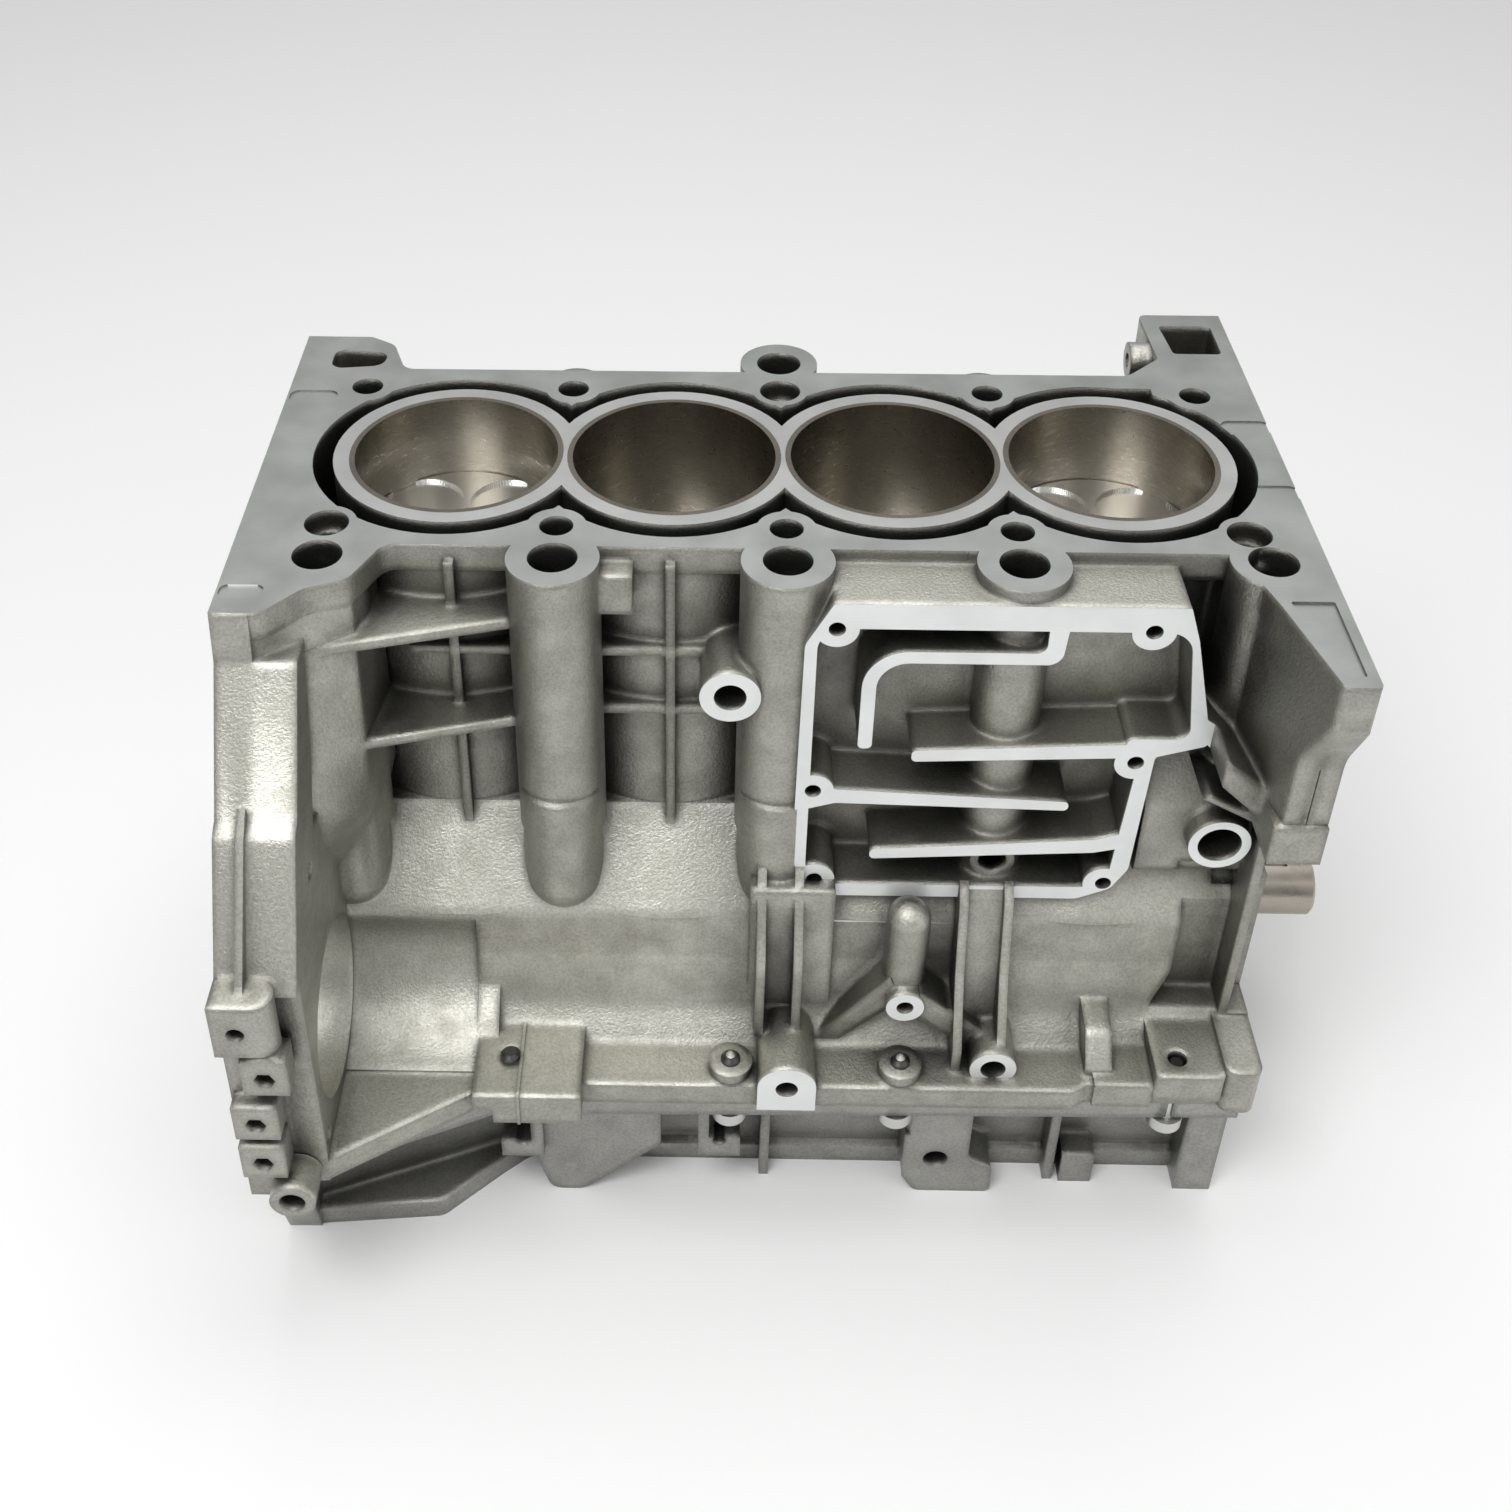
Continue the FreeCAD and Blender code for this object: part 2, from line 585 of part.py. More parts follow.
def chamber_solids():
    """Breather chamber: outer wall, screw bosses and the baffles of its labyrinth."""
    face = -size.chamber_front
    left = size.chamber_left
    right = size.chamber_right
    top = chamber_roof()
    floor = size.chamber_floor
    step = size.chamber_step
    bulge = size.chamber_bulge
    shell = [(left + 11, top, 2), (left + 1, top - 19, 8), (left, floor + 22, 8), (left + 4, floor + 7, 5),
             (left + 19, floor, 6), (right - 24, floor, 8), (right - 11, floor + 6, 5), (right - 5, floor + 17, 8),
             (right - 3, step - 6, 2), (right + bulge + 1, step, 2), (right + bulge, step + 9, 4),
             (right + 5, top - 15, 4), (right, top, 1)]
    return [prism_y(shell, face, -46)]


def chamber_hollows():
    """Breather chamber: the pocket round the bosses, baffles and drain column."""
    face = -size.chamber_front
    wall = size.chamber_wall
    left = size.chamber_left + wall
    right = size.chamber_right
    top = chamber_roof() - 2 * wall
    floor = size.chamber_floor + wall + 1
    step = size.chamber_step
    inside = [(left, top, 10), (left, floor, 12), (right - 13, floor, 12), (right - 9, step - 8, 3),
              (right - 16, step - 4, 3), (right - 14, step + 3, 3), (right + 9, step + 3, 5),
              (right + 2, top, 10)]
    pocket = prism_y(inside, face - 1, -size.chamber_back)
    return [pocket.cut(fused(chamber_inside()))]


def chamber_inside():
    """What stands in the chamber's pocket."""
    face = -size.chamber_front
    back = -size.chamber_back + 6
    thick = size.baffle
    left = size.chamber_left
    right = size.chamber_right
    top = chamber_roof()
    floor = size.chamber_floor
    shelf = top - 27
    drop = left + 23
    turn = 12
    arm = [(right - 50, top), (right - 50, shelf + thick, 4), (drop, shelf + thick, turn + thick),
           (drop, shelf - 42, 2), (drop + thick, shelf - 42, 2), (drop + thick, shelf, turn),
           (right - 44, shelf, 6), (right - 42, top)]
    step = size.chamber_step
    upper = [(left + 44, step - 4.5, 2), (right + 2, step + 1), (right + 2, step - 6), (left + 44, step - 10, 2)]
    middle = [(left, step - 18), (left + 16, step - 25, 4), (left + 107, step - 30, 2),
              (left + 107, step - 34.5, 2), (left + 16, step - 32, 4), (left, step - 37)]
    lower = [(right, step - 43), (right - 20, step - 50, 4), (left + 31, step - 57, 2),
             (left + 31, step - 62, 2), (right - 20, step - 57, 4), (right, step - 52)]
    pieces = [prism_y(run, face - 2, back) for run in (arm, upper, middle, lower)]
    for x, z in cover_screws():
        pieces.append(bar_y(x, z, size.cover_boss_radius, face - 2, back))
    drain = main_x(1)
    pieces.append(bar_z(drain, -size.column_offset, 13.5, floor, top))
    pieces.append(bar_y(drain, floor + 15, 9, face + 6, back))
    return pieces


def cover_screws():
    """Breather cover screw places (x, z)."""
    left = size.chamber_left
    right = size.chamber_right
    top = chamber_roof()
    floor = size.chamber_floor
    step = size.chamber_step
    return [(left + 12.5, top - 11.5), (right - 12, top - 11), (left + 7, step - 26), (right - 10, step - 9),
            (left + 9.5, floor + 9), (right - 14, floor + 9)]


def side_solids():
    """Bosses, ribs, pads and the mounting ear on the breather side."""
    deck = size.deck_height
    rim = size.flange_thickness
    wall = -60
    rib = size.rib
    end = block_end()
    solids = []
    for k, low in ((3, 98), (2, 98)):
        x = bore_x(k) + (4 if k == 3 else 0)
        solids.append(box(x - rib / 2, x + rib / 2, -68, wall, low, deck - 6))
    for height in (deck - 47, deck - 76):
        for start, stop in ((main_x(3), main_x(2)), (main_x(4) + 30, main_x(3))):
            solids.append(box(start, stop, -67.5, -40, height - rib / 2, height + rib / 2))
    solids.append(box(131, 149, -75, wall, deck - 23, deck - 6))
    solids.append(bar_y(size.sensor_x, size.sensor_z, size.sensor_boss_radius, -88, -50))
    solids.append(bar_y(size.port_x, size.port_z, size.port_boss_radius, -96, -50))
    pad_front = -size.flange_half - 2.5
    solids.append(prism_y([(200, 0), (200, 25, 11), (224, 25, 11), (224, 0)], pad_front, -100))
    for x in (200.5, 215.5):
        solids.append(prism_x([(-60, 108), (-92, 96, 3), (-112, 60, 20), (-112, 20), (-90, 10), (-60, 10)],
                              x - rib / 2, x + rib / 2))
    solids.append(box(196, 230, -97.5, -80, 4, 90))
    solids.append(bar_z(260, -99, 9, 44, 78))
    solids.append(Part.makeSphere(9, at(260, -99, 78)))
    solids.append(bar_y(260, 40, 7.8, -113, -84))
    solids.append(bar_y(297, 16, 9.6, -124, -90))
    for x in (282, 300):
        solids.append(prism_x([(-84, 100), (-97, 84, 8), (-106, 52, 12), (-121, 22), (-121, 10), (-84, 10)],
                              x - rib / 2, x + rib / 2))
    solids.append(prism_x([(-84, 96), (-92, 82, 8), (-100, 52, 12), (-104, 30), (-104, 10), (-84, 10)],
                          282, 300))
    solids.append(prism_y([(254, 50), (219, 8), (229, 8), (259, 38)], -107, -80))
    solids.append(prism_y([(266, 46), (294, 24), (290, 13), (262, 36)], -112, -80))
    solids.append(box(84, 128, -size.flange_half - 11, -100, 0, 16))
    solids.append(box(102, 103.2, -size.flange_half - 11.8, -100, 0, 16.8))
    for x in (189, 259):
        solids.append(bar_z(x, -size.edge_bolt_offset, 9, rim - 1, rim + 5))
    solids.append(prism_z([(end - 43, -84), (end - 43, -size.flange_half, 2), (end - 15, -size.flange_half, 2),
                           (end - 15, -84)], 7, 21))
    solids.append(box(end - 67, end - 43, -size.flange_half + 2, -84, 0, 13))
    solids.append(prism_x([(-84, 0), (-122, 0), (-122, 14, 3), (-112, 27, 6), (-84, 31)], end - 70, end - 59))
    solids.append(prism_x([(-60, 98), (-87, 92, 4), (-87, 128, 8), (-72, 158, 10), (-60, 158)], 350, end - 12))
    return solids


def ear_solids():
    """Mounting ear, its web, and the bracket frame at the exhaust corner."""
    deck = size.deck_height
    end = block_end()
    reach = size.ear_reach
    outline_ear = [(end - 33, -56), (end - 24, -93), (end - 13, -reach, 3), (end, -reach, 2), (end, -56)]
    wall = prism_z(outline_ear, 142, deck)
    shaped = prism_x([(-reach, deck), (-reach, 216), (-126, 190, 20), (-126, 150, 8), (-104, 142),
                      (-50, 142), (-50, deck)], end - 40, end)
    inner = prism_z([(end - 22, -62), (end - 17, -93), (end - 10, -reach + 14, 2), (end - 6, -reach + 14, 2),
                     (end - 6, -62)], 140, deck - 9)
    solids = [wall.common(shaped).cut(inner)]
    solids.append(prism_y([(end - 56, 182), (end - 46, 182, 4), (end - 6, 152), (end - 6, 144),
                           (end - 16, 144, 6)], -112, -58))
    solids.append(prism_y([(end - 40, 150), (end - 36, 150), (end - 6, 136), (end - 6, 131)], -104, -58))
    solids.append(box(end - 20, end, -128, -100, 140, 158))
    frame = [(end - 34, 60), (end, 60), (end, 121, 2), (end - 36, 121, 3)]
    solids.append(prism_z(frame, deck - 30, deck))
    solids.append(bar_x(96, deck - 9, 8, end - 44, end - 30))
    return solids


def timing_solids():
    """Rim of the timing face and the lug at its foot."""
    end = block_end()
    deck = size.deck_height
    start = end - size.timing_rim
    rim = [(-100, 0), (-100, 146, 6), (-88, deck - 6), (88, deck - 6), (104, 140, 20), (size.back_flange_half, 40, 10),
           (size.back_flange_half, 0)]
    solids = [prism_x(rim, start, end)]
    foot = size.flange_half
    solids.append(prism_z([(end - 15, -90), (end - 15, -foot, 5), (end, -foot, 5), (end, -90)], 0, 24))
    return solids


def timing_hollows():
    """Timing chest behind the rim, and the rim's screw holes."""
    end = block_end()
    deck = size.deck_height
    start = end - size.timing_rim
    low = [(-74, -1), (-74, 100, 6), (90, 100, 20), (112, 40, 10), (112, -1)]
    high = [(-90, 90), (-90, 144, 4), (-78, deck - 16, 6), (78, deck - 16, 6), (94, 138, 14), (94, 90)]
    hollows = [prism_x(low, start + 1, end + 1), prism_x(high, end - 5.5, end + 1)]
    hollows.append(prism_y([(end - 9, 25), (end + 1, 25), (end + 1, 138), (end - 9, 138)], -101, -84))
    for y, z in timing_screws():
        hollows.append(bar_x(y, z, 3.4, start - 8, end + 1))
    return hollows


def timing_screws():
    """Timing cover screw places (y, z) on the rim."""
    return [(-94, 14), (-79, 84), (-93, 150), (-83, 218), (83, 218), (99, 146), (108, 78), (118, 18)]


def side_hollows():
    """Drilled and tapped holes on the breather side, and the notch in the front pad."""
    end = block_end()
    deck = size.deck_height
    face = -size.chamber_front
    hollows = [bar_y(x, z, size.cover_screw_radius, face - 1, face + 16) for x, z in cover_screws()]
    hollows.append(bar_y(size.sensor_x, size.sensor_z, size.sensor_hole_radius, -89, -68))
    hollows.append(bar_y(size.port_x, size.port_z, size.port_radius, -97, -72))
    hollows.append(bar_y(212, 13, 4.6, -size.flange_half - 3, -104))
    hollows.append(bar_y(260, 40, 3.5, -114, -96))
    hollows.append(bar_y(297, 16, 5.2, -125, -104))
    hollows.append(bar_y(main_x(1), size.chamber_floor + 15, 5.8, face + 5, face + 16))
    hollows.append(box(83, 92, -size.flange_half - 12, -size.flange_half - 4, -1, 8))
    tip = [(end - 20, -92, 1), (end - 4, -92, 1), (end - 4, -size.ear_reach + 6, 1),
           (end - 11, -size.ear_reach + 6, 1)]
    hollows.append(prism_z(tip, deck - 1.2, deck + 1))
    hollows.append(prism_z([(1, -98, 3), (17, -98, 3), (17, -90, 3), (1, -90, 3)], deck - 0.8, deck + 1))
    for x, y in ((14, 42), (end - 6, -22), (end - 6, 26)):
        hollows.append(prism_z([(x - 13, y - 5, 4), (x + 7, y - 5, 4), (x + 7, y + 5, 4), (x - 13, y + 5, 4)],
                               deck - 0.8, deck + 1))
    hollows.append(bar_x(96, deck - 9, 3.2, end - 45, end - 26))
    window = [(end - 27, 86, 2), (end - 6, 86, 2), (end - 6, 111, 2), (end - 29, 111, 2)]
    hollows.append(prism_z(window, deck - 31, deck + 1))
    start = end - size.timing_rim
    hollows.append(prism_y([(start - 29, 25), (start - 21, 42, 20), (start - 20, 76, 20), (start - 26, 100),
                            (start, 100), (start, 25)], -110, -size.crankcase_half + 8))
    return hollows


def back_solids():
    """Stiffening ribs and columns on the exhaust side."""
    deck = size.deck_height
    rib = size.rib
    solids = []
    for k in BORES:
        x = bore_x(k)
        solids.append(box(x - rib / 2, x + rib / 2, 60, 69, 98, deck - 6))
    for height in (deck - 47, deck - 85):
        solids.append(box(30, block_end() - 30, 40, 67, height - rib / 2, height + rib / 2))
    for k in (1, 3):
        solids.append(bar_z(main_x(k), 66, 12, 78, deck - 6))
    solids.append(prism_z([(14, 60), (14, 92), (48, 64), (48, 60)], 178, 182))
    solids.append(prism_z([(14, 60), (14, 118), (90, 96), (90, 60)], 100, 104))
    for x, _ in edge_bolts()[4:]:
        solids.append(bar_z(x, size.back_flange_half - 11, 9, 0, size.flange_thickness + 5))
    return solids


def cylinder_block():
    """The aluminium casting that holds the bores and the upper main bearings."""
    solids = bank_solids() + crankcase_solids() + corner_solids() + bell_solids() + chamber_solids() + side_solids()
    solids += ear_solids() + timing_solids() + back_solids()
    hollows = bank_hollows() + crankcase_hollows() + bell_hollows() + chamber_hollows() + side_hollows()
    hollows += timing_hollows()
    return casting("cylinder_block", solids, hollows)


# ---------------------------------------------------------------- lower block


def lower_block():
    """The aluminium ladder casting that carries the lower main bearings."""
    end = block_end()
    low = -size.lower_depth
    front = size.flange_half - 2
    back = size.back_flange_half
    rim = size.flange_thickness
    rail = low + size.pan_rail
    top = [(0, -size.bell_front + 12), (30, -size.bell_front + 22), (92, -front, 12), (end - 4, -front + 4),
           (end - 4, back), (92, back, 12), (30, size.bell_back - 8), (0, size.bell_back)]
    pan = size.pan_half
    bottom = [(0, -142), (66, -136, 8), (90, -114, 12), (102, -pan, 12), (end - 4, -pan), (end - 4, pan),
              (102, pan, 12), (66, 128, 8), (0, 132)]
    solids = [prism_z(top, -rim, 0), prism_z(bottom, low, rail)]
    half = size.lower_half
    solids.append(box(8, end - 4, -half, half, rail, -rim))
    rear = [(-size.bell_front + 12, 0), (-142, low), (132, low), (size.bell_back, 0)]
    solids.append(prism_x(rear, 0, size.bell_plate))
    for side, top_y, low_y in ((-1, 152, 132), (1, 134, 124)):
        near = Part.makePolygon([at(10, side * y, z) for y, z in ((80, 0), (top_y, 0), (low_y, low), (80, low),
                                                                  (80, 0))])
        far = Part.makePolygon([at(92, side * y, z) for y, z in ((80, 0), (half + 4, 0), (half + 2, low),
                                                                 (80, low), (80, 0))])
        solids.append(Part.makeLoft([near, far], True, True))
    solids.append(prism_y([(107, -rim), (107, -54, 8), (112, low, 7), (126, low, 9), (160, -40, 6),
                           (160, -rim)], -121, -90))
    solids.append(prism_y([(265, -rim), (265, -62, 6), (271, low, 6), (288, low, 4), (304, low, 3),
                           (304, -56, 3), (293, -50, 6), (293, -rim)], -119, -90))
    for x, y, height in ((101, -126, -33), (185, -122, -36)):
        solids.append(box(x - 9, x + 9, y, -90, height - 10, -rim))
    solids.append(box(end - 70, end - 56, -113, -90, low, -54))
    solids.append(box(end - 20, end - 4, -116, -90, low, -8))
    for x in (205, end - 75):
        solids.append(box(x - 2, x + 2, -112, -90, low, -rim))
    bay = size.bore_pitch - size.bulkhead
    inner = size.lower_inner
    hollows = []
    for k in BORES:
        start = bore_x(k) - bay / 2
        hollows.append(box(start, start + bay, -inner, inner, low - 1, -20))
        hollows.append(bar_x(0, 0, size.crankcase_radius, start, start + bay))
    hollows.append(box(main_x(0) + size.bulkhead / 2, end - 10, -inner, inner, low - 1, 1))
    seat = size.main_journal / 2 + size.oil_film + size.main_shell
    hollows.append(bar_x(0, 0, seat, -1, end + 1))
    hollows.append(bar_x(0, 0, size.crank_flange_radius + 3, -1, main_x(4) - size.bulkhead / 2))
    for side in (-1, 1):
        face = main_x(2) + side * (size.bulkhead / 2 - size.thrust_recess)
        hollows.append(bar_x(0, 0, size.thrust_radius + 0.2, min(face, face + side * 2),
                             max(face, face + side * 2)))
    for k in MAINS:
        x = main_x(k)
        relief = [(-78, low - 1), (-62, low + 14, 8), (62, low + 14, 8), (78, low - 1)]
        hollows.append(prism_x(relief, x - size.bulkhead / 2 - 1, x + size.bulkhead / 2 + 1))
        if k > 0:
            hollows.append(bar_z(x, -size.column_offset, size.drain_radius, low - 1, 1))
        for side in (-1, 1):
            y = side * size.main_bolt_offset
            hollows.append(bar_z(x, y, size.main_bolt_radius + size.bolt_gap, low - 1, 1))
            hollows.append(bar_z(x, y, 11, low - 1, -size.cap_seat))
    hollows.append(bar_z(main_x(2), size.back_column, size.drain_radius, low - 1, 1))
    for x, y in edge_bolts():
        hollows.append(bar_z(x, y, size.edge_bolt_radius + size.bolt_gap, -30, 1))
        hollows.append(bar_z(x, y, 8.5, -34, -rim - 1))
    for x, z in ((121, -56), (279, -50)):
        hollows.append(bar_y(x, z, 5.4, -120, -98))
    for x, y, z in ((101, -126, -33), (185, -122, -36)):
        hollows.append(bar_y(x, z, 3.0, y - 1, y + 16))
    for x in (26, 112, 170, bore_x(1) - 18, bore_x(0) - 19, end - 33):
        for side in (-1, 1):
            hollows.append(bar_z(x, side * (pan - 9 if x > 60 else 120), 3.2, low - 1, low + 14))
    return casting("lower_block", solids, hollows)


# ---------------------------------------------------------------- crankshaft


def crank_web(centre, thickness, angle):
    """A crank web with its counterweight, as for a throw at the given angle."""
    start = centre - thickness / 2
    stop = centre + thickness / 2
    throw = size.stroke / 2
    cheek = [(-size.pin_web_radius, throw), (-size.web_radius, 0), (size.web_radius, 0),
             (size.pin_web_radius, throw)]
    solids = [prism_x(cheek, start, stop), bar_x(0, throw, size.pin_web_radius, start, stop),
              bar_x(0, 0, size.web_radius, start, stop)]
    spread = math.radians(58)
    reach = size.counterweight_radius * 1.2
    wedge = [(-size.web_radius, 0), (-reach * math.sin(spread), -reach * math.cos(spread)), (0, -reach * 1.4),
             (reach * math.sin(spread), -reach * math.cos(spread)), (size.web_radius, 0)]
    weight = prism_x(wedge, start, stop).common(bar_x(0, 0, size.counterweight_radius, start, stop))
    shape = fused(solids + [weight])
    shape.rotate(at(0, 0, 0), X_AXIS, angle)
    return shape


def throw_angle(index):
    """Angle of a throw from +Z, positive towards -Y; the end throws and the middle ones oppose."""
    return size.rest_angle + (0 if index in (0, 3) else 180)


def pin_centre(index):
    """Crankpin centre at rest."""
    angle = math.radians(throw_angle(index))
    throw = size.stroke / 2
    return at(bore_x(index), -throw * math.sin(angle), throw * math.cos(angle))


def crankshaft():
    """Forged crankshaft: journals, pins, webs, flywheel flange and nose."""
    journal = size.main_journal / 2
    solids = []
    for k in MAINS:
        half = size.main_journal_length / 2
        solids.append(bar_x(0, 0, journal, main_x(k) - half, main_x(k) + half))
    web = (size.bore_pitch - size.main_journal_length - size.crankpin_length) / 2
    for k in BORES:
        pin = pin_centre(k)
        half = size.crankpin_length / 2
        solids.append(bar_x(pin.y, pin.z, size.crankpin / 2, pin.x - half, pin.x + half))
        for side in (-1, 1):
            solids.append(crank_web(pin.x + side * (half + web / 2), web, throw_angle(k)))
    back = main_x(4) - size.main_journal_length / 2
    front = main_x(0) + size.main_journal_length / 2
    solids.append(bar_x(0, 0, size.crank_flange_radius, 0, size.crank_flange))
    solids.append(bar_x(0, 0, journal + 4, size.crank_flange, back))
    end = block_end()
    solids.append(bar_x(0, 0, size.nose_radius + 6, front, end - 2))
    solids.append(bar_x(0, 0, size.nose_radius + 2, end - 2, end + 22))
    nose = end + size.nose_reach
    tip = bar_x(0, 0, size.nose_radius, end + 22, nose)
    rim = [edge for edge in tip.Edges if abs(edge.CenterOfMass.x - nose) < 0.01]
    solids.append(tip.makeChamfer(1.2, rim))
    hollows = [bar_x(0, 0, 5.1, nose - 40, nose + 1), bar_x(0, 0, 8, -1, 14),
               box(end + 4, nose - 12, -2.5, 2.5, size.nose_radius - 2.5, size.nose_radius + 4)]
    for k in range(6):
        turn = math.radians(60 * k)
        radius = size.flywheel_circle / 2
        hollows.append(bar_x(radius * math.cos(turn), radius * math.sin(turn), size.flywheel_hole, -1,
                             size.crank_flange + 8))
    return casting("crankshaft", solids, hollows)


# ---------------------------------------------------------------- rods


def rod_place(index):
    """Where a connecting rod lies at rest: on its crankpin, leaning to its piston."""
    pin = pin_centre(index)
    lean = math.degrees(math.asin(-pin.y / size.rod_length))
    return FreeCAD.Placement(pin, FreeCAD.Rotation(X_AXIS, -lean))


def connecting_rod(index):
    """Forged rod: upper half of the big end, tapered I-section shank, small end."""
    rod = body("connecting_rod_%d" % (index + 1))
    shoulder = "rod_shoulder"
    top = [("-" + shoulder, "0"), (shoulder, "0"), (shoulder, "rod_shoulder_height"),
           ("16", "big_end_radius - 4"), ("12", "big_end_radius + 6"), ("8.5", "rod_length - small_end_radius + 3"),
           ("-8.5", "rod_length - small_end_radius + 3"), ("-12", "big_end_radius + 6"),
           ("-16", "big_end_radius - 4"), ("-" + shoulder, "rod_shoulder_height")]
    feature(rod, "Pad", outline(sketch(rod, "YZ_Plane"), top), "rod_shank", both=True)
    half = [("-" + shoulder, "0"), (shoulder, "0"), (shoulder, "rod_shoulder_height"),
            ("22", "big_end_radius - 8"), ("10", "big_end_radius"), ("-10", "big_end_radius"),
            ("-22", "big_end_radius - 8"), ("-" + shoulder, "rod_shoulder_height")]
    feature(rod, "Pad", outline(sketch(rod, "YZ_Plane"), half), "rod_width", both=True)
    feature(rod, "Pad", circle(sketch(rod, "YZ_Plane"), "0", "rod_length", "small_end_radius"), "rod_width", both=True)
    panel = [("-7", "big_end_radius + 9"), ("7", "big_end_radius + 9"), ("4.5", "rod_length - small_end_radius - 3"),
             ("-4.5", "rod_length - small_end_radius - 3")]
    for sign, back in (("", True), ("-", False)):
        drawing = outline(sketch(rod, "YZ_Plane", sign + "rod_shank / 2"), panel)
        feature(rod, "Pocket", drawing, "4.4", back=not back)
    bore = circle(sketch(rod, "YZ_Plane"), "0", "0", "crankpin / 2 + oil_film + rod_shell")
    feature(rod, "Pocket", bore, "rod_width + 2", both=True)
    eye = circle(sketch(rod, "YZ_Plane"), "0", "rod_length", "wrist_pin_radius + wrist_gap")
    feature(rod, "Pocket", eye, "rod_width + 2", both=True)
    for sign in ("", "-"):
        hole = circle(sketch(rod, "XY_Plane"), "0", sign + "rod_bolt_offset", "rod_bolt_radius + thread_gap")
        feature(rod, "Pocket", hole, "rod_shoulder_height - 1.5", back=True)
    rod.Placement = rod_place(index)
    return rod


def rod_cap(index):
    """Lower half of the big end."""
    cap = body("rod_cap_%d" % (index + 1))
    shoulder = "rod_shoulder"
    half = [("-" + shoulder, "0"), ("-" + shoulder, "-rod_shoulder_height"), ("-21", "-rod_shoulder_height"),
            ("-19", "-big_end_radius + 7"), ("-9", "-big_end_radius"), ("9", "-big_end_radius"),
            ("19", "-big_end_radius + 7"), ("21", "-rod_shoulder_height"), (shoulder, "-rod_shoulder_height"),
            (shoulder, "0")]
    feature(cap, "Pad", outline(sketch(cap, "YZ_Plane"), half), "rod_width", both=True)
    bore = circle(sketch(cap, "YZ_Plane"), "0", "0", "crankpin / 2 + oil_film + rod_shell")
    feature(cap, "Pocket", bore, "rod_width + 2", both=True)
    for sign in ("", "-"):
        hole = circle(sketch(cap, "XY_Plane"), "0", sign + "rod_bolt_offset", "rod_bolt_radius + thread_gap")
        feature(cap, "Pocket", hole, "rod_shoulder_height + 2")
    cap.Placement = rod_place(index)
    return cap


def headed_bolt(label, shank, head, head_height, reach):
    """One bolt turned about Z, its seat at the origin and its head below."""
    bolt = body(label)
    profile = [("0", "-(%s)" % head_height), ("%s - 1" % head, "-(%s)" % head_height),
               (head, "1 - (%s)" % head_height), (head, "0"), (shank, "0"), (shank, "%s - 1.5" % reach),
               ("%s - 1.5" % shank, reach), ("0", reach)]
    turned(bolt, "Revolution", outline(sketch(bolt, "XZ_Plane"), profile))
    doc.recompute()
    socket = circle(sketch(bolt, "XY_Plane", "-(%s)" % head_height), "0", "0", "%s * 0.62" % shank)
    feature(bolt, "Pocket", socket, "(%s) * 0.55" % head_height, back=True)
    return bolt


def bolt_group(label, pattern, places, base=None):
    """Copies of one bolt, as one group of separate pieces."""
    doc.recompute()
    copies = []
    for place in places:
        copy = pattern.Shape.copy()
        copy.Placement = FreeCAD.Placement(place, FreeCAD.Rotation())
        copies.append(copy)
    group = doc.addObject("Part::Feature", label)
    group.Label = label
    group.Shape = Part.makeCompound(copies)
    if base is not None:
        group.Placement = base
    return group


# ---------------------------------------------------------------- pistons


def piston_centre(index):
    """Piston pin centre at rest."""
    pin = pin_centre(index)
    return at(pin.x, 0, pin.z + math.sqrt(size.rod_length ** 2 - pin.y ** 2))


RING_TOPS = ["crown_height - 5.5", "crown_height - 10.5", "crown_height - 15"]


def crown_text():
    """Piston pin to crown, so that the crown meets the deck at the top of the stroke."""
    return "(deck_height - stroke / 2 - rod_length)"


